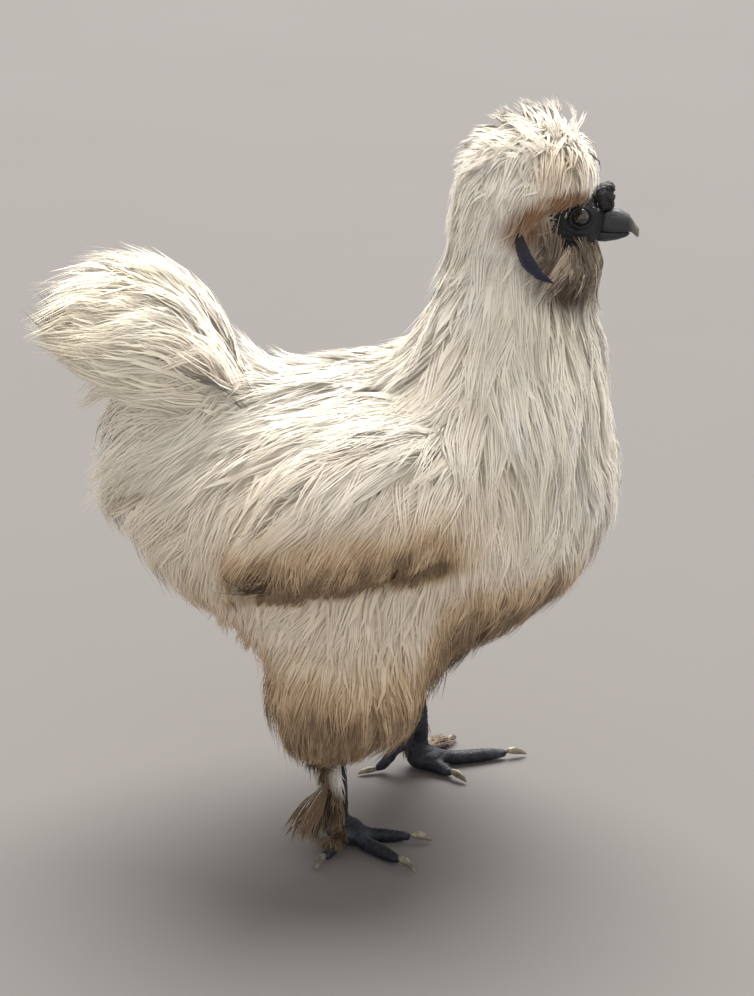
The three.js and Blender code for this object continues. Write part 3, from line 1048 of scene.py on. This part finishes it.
def lay_strands(path, outs, style):
    """The middle line of each strand, and the ways to its side, up from it and out of the coat."""
    locks, strands = len(path), style.strands
    count = locks * strands
    owner = np.repeat(np.arange(locks), strands)
    t = np.linspace(0, 1, style.rings + 1)[None]
    end = rng.uniform(SHORTEST_STRAND, 1.0, count)[:, None]
    start = rng.uniform(0, style.stagger, count)[:, None]
    u = start + (end - start) * t
    middle = along_path(path[owner], u)
    coat_out = unit(along_path(outs[owner], u))
    forward = unit(np.gradient(middle, axis=1))
    up = unit(coat_out - dot(coat_out, forward) * forward)
    side = np.cross(forward, up)
    a = np.tile(np.linspace(-1, 1, strands), locks) + rng.normal(0, 0.18, count)
    b = rng.uniform(-1, 1, count)
    gather = rng.uniform(0.35, 1.9, locks)[owner][:, None]
    spread = style.root * (1 - u) + style.tip * gather * u + style.belly * 4 * u * (1 - u)
    spread = spread + style.vane * t**1.4
    drift = rng.normal(0, 1, (count, 2)) ** 3 * style.stray * 0.33
    drift = np.clip(drift, -2 * style.stray, 2 * style.stray)
    bow = rng.normal(0, style.bow, locks)[owner][:, None] * np.sin(np.pi * u)
    phase = rng.uniform(0, 2 * np.pi, locks)[owner][:, None] + rng.normal(0, 0.4, count)[:, None]
    wave = style.wave * u * np.sin(8 * u + phase)
    offset = side * ((a[:, None] * spread + drift[:, :1] * u**3 + bow + wave)[..., None])
    offset = offset + up * ((b[:, None] * spread * 0.45 + drift[:, 1:] * 0.5 * u**3)[..., None])
    return middle + offset, side, up, coat_out


def strand_faces(rings):
    faces = [(0, 1, 2)]
    for k in range(rings - 1):
        for c in range(3):
            a, b = 3 * k + c, 3 * k + (c + 1) % 3
            faces += [(a, b + 3, b), (a, a + 3, b + 3)]
    last = 3 * (rings - 1)
    faces += [(last + (c + 1) % 3, last + c, 3 * rings) for c in range(3)]
    return np.array(faces)


print("triangles in a strand", len(strand_faces(BODY_LOCK.rings)))

# %% [markdown]
# A strand of solid mesh casts a hard shadow, and real down doesn't. So the shading normals lean
# from each face's own towards the coat's outward direction, and a little upwards. Light then
# wraps round the coat as a whole. The normals are stored on the mesh.

# %% Soft shading normals
OWN_SHARE = 0.28  # how much of a face's own normal is kept in its shading


def soften(mesh, points, outward, triangles, from_above):
    """Where a face looks inwards, only the part of the coat's direction along the face is used."""
    a, b, c = (points[triangles[:, k]] for k in range(3))
    own = unit(np.cross(b - a, c - a))[:, None]
    coat = outward[triangles]
    coat = coat - own * np.minimum(dot(own, coat), 0)
    soft = unit(own * OWN_SHARE + coat + [0, 0, from_above])
    layer = mesh.attributes.new("custom_normal", "FLOAT_VECTOR", "CORNER")
    layer.data.foreach_set("vector", soft.ravel().astype(np.float32))


print("share of a face's own normal", OWN_SHARE)

# %% [markdown]
# A coat piece joins all strands of its locks in one mesh. Each point remembers how far along its
# strand it lies and the tint of its lock, for the material. In the UV map every strand is a tiny
# patch at its root's place, so a baked colour belongs to that root and not to a neighbour.

# %% One coat piece
SECTION = np.array([[-1.0, -0.12], [1.0, -0.12], [0.0, 0.22]])
CLEAR_OF_FLOOR = 0.4
UV_PATCH = 0.003


def make_coat(name, path, outs, style, axis, material):
    locks, rings = len(path), style.rings
    count = locks * style.strands
    t = np.linspace(0, 1, rings + 1)[None]
    middle, side, up, coat_out = lay_strands(path, outs, style)
    roll = rng.normal(0, 0.3, count)[:, None, None]
    flat = side * np.cos(roll) + up * np.sin(roll)
    ridge = up * np.cos(roll) - side * np.sin(roll)
    taper = (0.6 + 0.4 * np.minimum(1, 3 * t)) * (1 - t**2.2) ** 0.7
    half = style.width / 2 * rng.uniform(0.7, 1.25, count)[:, None] * taper
    corners = [middle + (flat * sx + ridge * sy) * half[..., None] for sx, sy in SECTION]
    rings_points = np.stack(corners, 2)[:, :rings].reshape(count, rings * 3, 3)
    points = np.concatenate([rings_points, middle[:, rings:]], 1).reshape(-1, 3)
    points[:, 2] = np.maximum(points[:, 2], CLEAR_OF_FLOOR)
    outward = np.concatenate([np.repeat(coat_out[:, :rings], 3, axis=1), coat_out[:, rings:]], 1)
    per = rings * 3 + 1
    first_point = (np.arange(count) * per)[:, None, None]
    triangles = (strand_faces(rings)[None] + first_point).reshape(-1, 3)
    obj = make_object(name, points, triangles)
    soften(obj.data, points, outward.reshape(-1, 3), triangles, style.from_above)
    fraction = np.append(np.repeat(t[0, :rings], 3), 1.0)
    tint = rng.uniform(0, 1, locks).repeat(style.strands) * 0.65 + rng.uniform(0, 0.35, count)
    store(obj.data, "along", np.tile(fraction, count))
    store(obj.data, "tint", np.repeat(np.clip(tint, 0, 1), per))
    across = np.append(np.tile([-0.5, 0.5, 0.0], rings), 0.0)
    patch = np.stack([across, fraction - 0.5], 1) * UV_PATCH
    corner_uv = (unwrap(middle[:, 0], axis)[:, None] + patch[None]).reshape(-1, 2)
    layer = obj.data.uv_layers.new(name="OFBake")
    layer.uv.foreach_set("vector", corner_uv[triangles.ravel()].ravel().astype(np.float32))
    obj.data.materials.append(material)
    print(f"{name}: {locks} locks, {count} strands, {len(triangles)} triangles")
    return obj


def unwrap(points, axis):
    """Round an axis: the angle gives u, and the place along the axis gives v."""
    a, b = np.array(axis, float)
    forward = unit(b - a)
    side = unit(np.cross(forward, [0.0, 1.0, 0.0]))
    third = np.cross(forward, side)
    away = points - a
    angle = np.arctan2(away @ third, away @ side) / (2 * np.pi) + 0.5
    share = (away @ forward) / np.linalg.norm(b - a)
    return np.stack([angle, np.clip(share, 0, 1)], 1) * 0.98 + 0.01


# %% [markdown]
# Roots are spread evenly over the skin. Each one is told apart by the part of the flesh that it
# sits on, so the crest grows from the crown and the wing's feathers from the wing.

# %% Roots on the skin
ROOT_POOL = 150000


def scatter(mesh, count):
    points = points_of(mesh)
    normals = normals_of(mesh)
    triangles = triangles_of(mesh)
    a, b, c = (points[triangles[:, k]] for k in range(3))
    area = np.linalg.norm(np.cross(b - a, c - a), axis=1)
    pick = rng.choice(len(triangles), count, p=area / area.sum())
    r, q = rng.uniform(0, 1, (2, count))
    r = np.sqrt(r)
    weights = np.stack([1 - r, r * (1 - q), r * q], 1)[..., None]
    corners = triangles[pick]
    return (points[corners] * weights).sum(1), unit((normals[corners] * weights).sum(1)), area.sum() / 2


pool, pool_out, skin_area = scatter(skin.data, ROOT_POOL)
labels = list(FLESH)
tree = KDTree(sum(len(p) for p, _ in FLESH.values()))
owner_label = []
for number, (p, _) in enumerate(FLESH.values()):
    for q in p:
        tree.insert(q, len(owner_label))
        owner_label.append(number)
tree.balance()
owner_label = np.array(owner_label)
pool_label = owner_label[[tree.find(p)[1] for p in pool]]
used = np.zeros(ROOT_POOL, bool)
print("skin area in square mm", round(skin_area))


def roots(parts, count, where=None):
    """Unused roots on the named parts, as many as asked or as there are.

    where takes the coordinates of the roots and their normals, and says which roots may be used.
    """
    fits = np.isin(pool_label, [labels.index(name) for name in parts]) & ~used
    if where is not None:
        fits &= where(*pool.T, pool_out.T)
    chosen = np.flatnonzero(fits)[:count]
    used[chosen] = True
    return pool[chosen], pool_out[chosen]


# %% [markdown]
# The lie of the coat is what the eye follows first. It is laid down as a hairdresser would, with
# a few strokes of the comb, and every feather takes the mean of the strokes near it. Strokes are
# given for the right side, and the left side mirrors them.

# %% Strokes and fans
def comb_strokes(strokes, reach):
    place = np.array([s[0] for s in strokes], float)
    way = unit(np.array([s[1] for s in strokes], float))

    def lie(points):
        left = points[:, 1] > 0
        here = points * [1, 0, 1] - np.abs(points) * [0, 1, 0]
        gap = ((here[:, None] - place[None]) ** 2).sum(2)
        weight = np.exp(-gap / (2 * reach**2)) + 1e-6 / (gap + 1)
        blend = weight @ way
        blend[left, 1] *= -1
        return unit(blend)

    return lie


def fan(apex, pull):
    """Feathers that spread from one place, with a steady pull added."""

    def lie(points):
        return unit(unit(points - np.array(apex, float)) + np.array(pull, float))

    return lie


print("a lie is a function from places to directions")

# %% The lie on the body
BODY_STROKES = [
    ([30, -10, 210], [-1.0, 0.0, -0.12]),
    ([-10, -15, 205], [-1.0, -0.05, 0.02]),
    ([-45, -20, 205], [-0.9, -0.35, -0.05]),
    ([0, -50, 195], [-0.9, -0.2, -0.4]),
    ([-50, -45, 190], [-0.75, -0.25, -0.6]),
    ([-90, -30, 195], [-0.72, -0.1, -0.68]),
    ([-110, -25, 170], [-0.45, 0.0, -0.9]),
    ([-60, -60, 160], [-0.4, -0.05, -0.92]),
    ([-95, -25, 135], [-0.3, 0.0, -0.95]),
    ([-60, -40, 120], [-0.35, 0.0, -0.93]),
    ([-30, -60, 110], [-0.3, 0.0, -0.95]),
    ([10, -70, 120], [-0.12, 0.0, -1.0]),
    ([50, -50, 130], [-0.1, 0.0, -1.0]),
    ([60, -65, 170], [-0.22, 0.0, -1.0]),
    ([80, -40, 190], [-0.02, 0.0, -1.0]),
    ([105, -10, 180], [0.05, 0.0, -1.0]),
    ([100, -15, 145], [-0.12, 0.0, -1.0]),
    ([75, -20, 115], [-0.3, 0.0, -0.95]),
    ([20, -15, 95], [-0.5, 0.0, -0.87]),
    ([-40, -15, 95], [-0.45, 0.0, -0.9]),
]
body_lie = comb_strokes(BODY_STROKES, 22)
print("the lie on the breast", body_lie(np.array([[90.0, -20.0, 170.0]])).round(2))

# %% The lie on the wings and the thighs
WING_STROKES = [
    ([50, -55, 195], [-0.55, -0.1, -0.85]),
    ([35, -65, 170], [-0.2, 0.0, -1.0]),
    ([30, -75, 150], [-0.12, 0.0, -1.0]),
    ([0, -70, 200], [-0.8, -0.1, -0.6]),
    ([0, -80, 175], [-0.5, 0.0, -0.85]),
    ([0, -80, 150], [-0.25, 0.0, -0.97]),
    ([-40, -75, 190], [-0.85, 0.0, -0.55]),
    ([-40, -80, 160], [-0.5, 0.0, -0.87]),
    ([-60, -75, 135], [-0.35, 0.0, -0.95]),
    ([-75, -65, 160], [-0.6, 0.0, -0.8]),
]
wing_lie = comb_strokes(WING_STROKES, 18)

THIGH_STROKES = [
    ([15, -60, 110], [0.0, -0.1, -1.0]),
    ([20, -50, 80], [0.06, -0.05, -1.0]),
    ([-10, -65, 90], [-0.15, -0.1, -1.0]),
    ([-35, -50, 90], [-0.3, -0.05, -1.0]),
    ([-20, -50, 60], [-0.2, 0.0, -1.0]),
    ([-5, -15, 80], [-0.1, 0.1, -1.0]),
]
thigh_lie = comb_strokes(THIGH_STROKES, 20)
print("the lie on the wing", wing_lie(np.array([[0.0, -75.0, 170.0]])).round(2))

# %% The lie on the head, the neck and the tail
crest_lie = fan((84, 0, 334), (-0.15, 0, -0.8))
spike_lie = fan((72, 0, 300), (-0.15, 0, 0.1))
neck_lie = fan((66, 0, 400), (-0.08, 0, -0.3))
TAIL_ROOT = np.array([-40, 0, 178])


def tail_lie(points):
    """Plumes rise from the tail's root, spread out, and bend over backwards with their length."""
    away = points - TAIL_ROOT
    far = np.linalg.norm(away, axis=1)
    bend_over = np.stack([-0.004 * far, 0 * far, 0.25 - 0.0075 * far], 1)
    return unit(unit(away) + bend_over)


saddle_lie = fan((-10, 0, 235), (-0.25, 0, -0.25))
cheek_lie = fan((108, 0, 290), (-0.1, 0, -0.45))
beard_lie = fan((92, 0, 330), (-0.22, 0, -0.5))
print("strokes in all", len(BODY_STROKES) + len(WING_STROKES) + len(THIGH_STROKES))

# %% [markdown]
# Each part of the plumage is one piece, so no mesh grows too large. Locks stick together in small
# clumps, each drawn to a leading lock, because even locks would look like a brush. The left
# wing has the right wing's hull, mirrored.

# %% Clumps and pieces
BODY_AXIS = ((-150, 0, 160), (120, 0, 160))
HEAD_AXIS = ((70, 0, 240), (70, 0, 340))
NECK_AXIS = ((60, 0, 170), (70, 0, 300))
LEG_AXES = {side: ((-10, FOOT_OUT * s, 140), (-10, FOOT_OUT * s, 40)) for side, s in SIDES.items()}
pieces = {}


def clump(path, crowd, cling):
    """Locks drawn to the nearest leading lock, more and more along their length."""
    leaders = path[::crowd]
    halfway = KDTree(len(leaders))
    for i, p in enumerate(leaders[:, STEPS // 2]):
        halfway.insert(p, i)
    halfway.balance()
    nearest = [halfway.find(p)[1] for p in path[:, STEPS // 2]]
    draw = cling * ease(np.linspace(-0.2, 1.1, STEPS + 1))[None, :, None]
    return path + (leaders[nearest] - path) * draw


def dress(name, parts, count, lie, hull, axis, where=None, base=BODY_LOCK, **changes):
    """Grow one coat piece, in the base style with the changes."""
    style = replace(base, **changes)
    start, outward = roots(parts, count, where)
    if style.along_lie:
        outward = unit(outward - dot(outward, lie(start)) * lie(start))
    path, outs = trace(start, outward, lie, hull, style)
    path = clump(path, style.crowd, style.cling)
    pieces[name] = make_coat(name, path, outs, style, axis, plumage)


class LeftWing:
    flip = np.array([1, -1, 1])

    def at(self, points):
        return wing_hull.at(points * self.flip)

    def out(self, points):
        return wing_hull.out(points * self.flip) * self.flip


WING_HULLS = {"right": wing_hull, "left": LeftWing()}
print("hulls of the wings", list(WING_HULLS))

# %% [markdown]
# Short broad tufts of down come first, as on the bird. They close most of the gaps between the
# long locks, where the dark of a hollow would show.

# %% Grow the down
DOWN = replace(
    BODY_LOCK, length=(24, 38), strands=5, width=2.7, root=5, belly=1.5, tip=3.5, stray=1.5, stagger=0.1,
    level=(-8, -4), over=(-4, -2), cling=0,
)


def on_neck(x, y, z, out):
    return (z < 300) & (x < 72 + (z < 262) * 40)


dress("down_body", ["body"], 1000, body_lie, full_hull, BODY_AXIS, base=DOWN, strands=4, width=3.2)
dress("down_neck", ["neck", "throat", "skull"], 300, neck_lie, full_hull, NECK_AXIS, on_neck, DOWN)
dress(
    "down_crown", ["crown"], 280, crest_lie, body_hull, HEAD_AXIS,
    lambda x, y, z, out: z > 293,
    DOWN, width=2.0, length=(14, 24), root=3, tip=1.5, level=(-6, -2),
)
dress(
    "down_tail", ["tail"], 260, tail_lie, body_hull, BODY_AXIS,
    base=DOWN, length=(40, 96), width=2.6, level=(-14, -4), hold=0.9, along_lie=True, from_above=0.6,
)
for side in SIDES:
    dress(
        "down_wing_" + side, ["wing_" + side], 170, wing_lie, WING_HULLS[side], BODY_AXIS,
        lambda x, y, z, out: out[Y] > -0.05,
        DOWN, level=(-6, -3), hold=0.6, width=2.2,
    )
    dress(
        "down_thigh_" + side, ["thigh_" + side], 190, thigh_lie, body_hull, LEG_AXES[side],
        base=DOWN, hold=0.7, width=2.2,
    )

# %% [markdown]
# The long locks follow, one piece for each region. The pieces overlap, because their roots share
# one skin and their tips lie over the next piece, as roof tiles do.

# %% Grow the body's coat
dress(
    "coat_saddle", ["body", "tail"], 330, saddle_lie, body_hull, BODY_AXIS,
    lambda x, y, z, out: (x < -36) & (x > -92) & (z > 172) & (out[Z] > -0.5),
    length=(52, 86), stray=3.0, vane=1.0, crowd=8, cling=0.6, stagger=0.3, over=(-2, 7), tip=0.35,
)
dress(
    "coat_rump", ["body", "tail"], 460, body_lie, full_hull, BODY_AXIS,
    lambda x, y, z, out: (x < -42) & (out[Z] < 0.8) & (z < 205),
    length=(44, 66), stray=3.5, vane=1.0, stagger=0.3, over=(-2, 8), tip=0.4,
)
dress(
    "coat_back", ["body", "wing_right", "wing_left"], 350, body_lie, full_hull, BODY_AXIS,
    lambda x, y, z, out: (out[Z] > 0.45) & (x < 50) & (np.abs(y) < 60),
    length=(42, 60), vane=0.8, stagger=0.3, over=(0, 3), level=(-5, 0),
)
dress(
    "coat_breast", ["body"], 580, body_lie, full_hull, BODY_AXIS,
    lambda x, y, z, out: x > 32,
    length=(36, 58), level=(-6, 0.5), over=(0, 6), tip=0.4,
)
dress(
    "coat_belly", ["body"], 340, body_lie, flank_hull, BODY_AXIS,
    lambda x, y, z, out: z < 165,
    length=(30, 48), strands=9, over=(0, 8), tip=0.4,
)

# %% Grow the neck's hackle
dress(
    "coat_neck", ["neck", "throat", "skull", "crown"], 640, neck_lie, full_hull, NECK_AXIS, on_neck,
    length=(46, 74), lift=0.8, rise=2.3, over=(-1, 8), tip=0.35, crowd=6, cling=0.55, level=(-5, 1),
)

# %% Grow the wings and the thighs
WING_LOCKS = {"right": 540, "left": 430}
THIGH_LOCKS = {"right": 410, "left": 330}
WING_FRONT = 30
for side, s in SIDES.items():
    dress(
        "coat_shoulder_" + side, ["wing_" + side, "body"], 150, wing_lie, full_hull, BODY_AXIS,
        lambda x, y, z, out: (x > 4) & (x < 64) & (z > 176) & (y * s > 22),
        length=(44, 64), over=(0, 3), level=(-4, 0),
    )
    dress(
        "coat_wing_" + side, ["wing_" + side], WING_LOCKS[side], wing_lie, WING_HULLS[side], BODY_AXIS,
        lambda x, y, z, out: (x < WING_FRONT) & (out[Y] * s > 0.2),
        length=(42, 66), hold=0.6, over=(0, 7), level=(-4, 0.5), tip=0.35, vane=0.5, crowd=7, cling=0.6,
    )
    dress(
        "coat_flank_" + side, ["body", "thigh_" + side], 235, thigh_lie, flank_hull, LEG_AXES[side],
        lambda x, y, z, out: (y * s > 34) & (z > 96) & (z < 136) & (x < 44),
        length=(52, 84), hold=0.75, over=(-1, 5), lift=0.5, tip=0.3,
    )
    dress(
        "coat_thigh_" + side, ["thigh_" + side], THIGH_LOCKS[side], thigh_lie, flank_hull, LEG_AXES[side],
        length=(38, 60), hold=0.7, over=(-1, 8), lift=0.6, tip=0.3, crowd=7, cling=0.6,
    )

# %% Grow the tail
dress(
    "coat_tail", ["tail", "body"], 560, tail_lie, body_hull, BODY_AXIS,
    lambda x, y, z, out: (x < -50) & (z > 180) & (out[Z] > -0.8),
    length=(50, 118), rings=4, width=0.62, root=1.6, belly=1.2, tip=0.35, vane=1.2, stagger=0.35,
    level=(-24, 1), over=(-6, 5), jitter=5, swirl=5, lift=0.9, hold=0.9, crowd=9, cling=0.4,
    along_lie=True, from_above=0.7,
)

# %% Grow the crest
CREST_LOCK = replace(
    BODY_LOCK, width=0.6, lift=0.92, rise=1.6, hold=0.15, stray=1.2, tip=0.4, bow=0.6, wave=0.3,
    from_above=0.5,
)
dress(
    "coat_crest", ["crown", "skull"], 560, crest_lie, body_hull, HEAD_AXIS,
    lambda x, y, z, out: z > 291,
    CREST_LOCK, length=(22, 38), over=(-2, 1), level=(-3, 0), jitter=6, swirl=5, cling=0.3,
)
dress(
    "coat_crest_top", ["crown"], 180, spike_lie, body_hull, HEAD_AXIS,
    lambda x, y, z, out: (z > 298) & (out[Z] > 0.55),
    CREST_LOCK, length=(15, 24), lift=0.97, hold=0.75, level=(0, 6), over=(2, 7), tip=0.2, root=1.2,
    belly=0.2, rise=1.3, crowd=4, cling=0.5, strands=8,
)

# %% Grow the cheeks and the beard
dress(
    "coat_cheek", ["skull", "neck", "crown"], 300, cheek_lie, body_hull, HEAD_AXIS,
    lambda x, y, z, out: (x < 78) & (z > 262) & (z < 296),
    length=(12, 24), strands=9, width=0.5, root=1.4, belly=0.5, tip=0.3, stray=1.5, lift=0.8,
)
dress(
    "coat_beard", ["throat", "skull"], 420, beard_lie, body_hull, HEAD_AXIS,
    lambda x, y, z, out: (z < 277) & (x > 66),
    length=(18, 38), strands=9, width=0.62, root=1.5, belly=0.5, tip=0.2, stray=1.6, lift=0.85,
    crowd=4, cling=0.7,
)

# %% [markdown]
# Silkies have feathered legs: vanes lie down the outside and the back of each shank and run out
# over the outer toe. These feathers do have quills. They are short and stained, so each is a bent
# midline whose strands leave it sideways, laid on by its place round the shank.

# %% Stained vanes
PALE_VANE = (-14, -45, 37)
VANE_DARK = (0.045, 0.027, 0.017)
VANE_BROWN = (0.27, 0.18, 0.11)
VANE_TIP = (0.42, 0.33, 0.23)


def paint_stained(start, position):
    tint, along = start.stored("tint"), start.stored("along")
    color = tint.step(0.15, 0.95).mix(VANE_DARK, VANE_BROWN)
    color = (along.step(0.5, 1.0) * 0.4).mix(color, VANE_TIP)
    pale = blob(position, PALE_VANE, (7, 9, 11), 0.4)
    return {
        "Base Color": (pale * 0.85).mix(color, WHITE),
        "Roughness": 0.55 + 0.2 * tint,
        "Specular IOR Level": 0.25,
    }


stained = finish("stained_vanes", paint_stained)
print("material", stained.name)

# %% Foot feathers
FOOT_X = {"right": -15, "left": 23}
OUTER_TOE = {"right": 112, "left": 62}  # degrees outwards from straight ahead


def bend(start, middle, end):
    t = np.linspace(0, 1, STEPS + 1)[None, :, None]
    return start[:, None] * (1 - t) ** 2 + middle[:, None] * 2 * t * (1 - t) + end[:, None] * t**2


def shank_line(side, s, height):
    return np.stack([FOOT_X[side] - 1 - height * 0.064, np.full(len(height), FOOT_OUT * s), height], 1)


def leg_vanes(side, s, count):
    """Vanes down the outside and the back of a shank."""
    turn = np.radians(rng.uniform(-35, 150, count))
    height = rng.uniform(20, 58, count)
    out = np.stack([-np.sin(turn), s * np.cos(turn), np.zeros(count)], 1)
    drop = rng.uniform(14, 22, count)[:, None] * [[-0.12, 0, -1]]
    start = shank_line(side, s, height) + out * 3.6
    middle = start + out * 2.6 + drop * 0.45
    end = start + out * rng.uniform(1, 4, count)[:, None] + drop
    end[:, 2] = np.maximum(end[:, 2], 4)
    return bend(start, middle, end), np.repeat(out[:, None], STEPS + 1, 1)


def toe_vanes(side, s, count):
    """Small vanes that leave the foot over the outer toe."""
    turn = math.radians(OUTER_TOE[side])
    along = np.array([math.cos(turn), s * math.sin(turn), 0])
    back = np.array([-math.sin(turn), s * math.cos(turn), 0])
    share = rng.uniform(0, 1, count)[:, None]
    start = np.array([FOOT_X[side], FOOT_OUT * s, 9]) + along * share * 16 + [0, 0, -2] * share
    fling = along * rng.uniform(8, 13, count)[:, None] + back * rng.uniform(-6, 6, count)[:, None]
    middle = start + fling * 0.5 + [0, 0, 3]
    end = start + fling + [0, 0, -3]
    end[:, 2] = np.maximum(end[:, 2], 3)
    return bend(start, middle, end), np.tile([0, 0, 1.0], (count, STEPS + 1, 1))


def loose_quills(side, s, count):
    """A fan of narrow stained quills that stands off the outside of the shank."""
    start = shank_line(side, s, rng.uniform(26, 34, count)) + np.array([-3, 4 * s, 0])
    end = np.array([-34.0, 60 * s, 9]) + rng.normal(0, 1, (count, 3)) * [4.5, 4, 3]
    middle = (start + end) / 2 + np.array([-3, 3 * s, 4])
    return bend(start, middle, end), np.tile([-0.3, 0.8 * s, 0.4], (count, STEPS + 1, 1))


VANE = Lock(strands=20, width=0.55, root=0.5, tip=0.5, vane=2.6, stagger=0.75, stray=0.8)
for side, s in SIDES.items():
    parts = [leg_vanes(side, s, 40), toe_vanes(side, s, 9)]
    if side == "right":
        parts.append(loose_quills(side, s, 9))
    path = np.concatenate([p for p, _ in parts])
    outs = np.concatenate([o for _, o in parts])
    name = "vanes_foot_" + side
    pieces[name] = make_coat(name, path, outs, VANE, LEG_AXES[side], stained)

# %% [markdown]
# Last, every piece is tied to the frame. The skin and the coat stand for the flesh nodes, and the
# fine horn, comb, lobes, eyes and claws for their own. The floor is only a stage.

# %% Floor
FLOOR_DARK = (0.172, 0.161, 0.157)
FLOOR_PALE = (0.186, 0.175, 0.171)


def paint_floor(start, position):
    return {"Base Color": position.noise(3.0).mix(FLOOR_DARK, FLOOR_PALE), "Roughness": 0.9}


floor_mesh = bpy.data.meshes.new("floor")
edit = bmesh.new()
bmesh.ops.create_grid(edit, x_segments=2, y_segments=2, size=6)
edit.to_mesh(floor_mesh)
edit.free()
floor = in_scene("floor", floor_mesh)
paint_parts([floor], finish("pale_floor", paint_floor))

# %% Ties to the frame
FLESH_NODES = ["trunk", "neck", "head", "crest", "tail", "beard"]
for side in SIDES:
    FLESH_NODES += [part + side for part in ("wing_", "thigh_", "shank_", "foot_")]
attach(skin, "root")
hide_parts(*FLESH_NODES)
OWN_NODES = [
    (horn["upper"], "bill_upper", "bill_horn"),
    (horn["lower"], "bill_lower", "bill_horn"),
    (comb, "comb", "comb_skin"),
]
OWN_NODES += [(lobes[side], "earlobe_" + side, "lobe_skin") for side in SIDES]
OWN_NODES += [(eyes[side], "eye_" + side, "eye") for side in SIDES]
OWN_NODES += [(obj, "claw_" + key, "claw_horn") for key, obj in claws.items()]
for obj, node, slot in OWN_NODES:
    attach(obj, "root")
    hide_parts(node)
for name, obj in pieces.items():
    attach(obj, "root")
for side in SIDES:
    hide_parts("foot_feathers_" + side)

# %% Sizes
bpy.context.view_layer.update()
visible = [o for o in bpy.data.objects if o.type == "MESH" and not o.hide_render]
print("triangles", sum(len(triangles_of(o.data)) for o in visible))
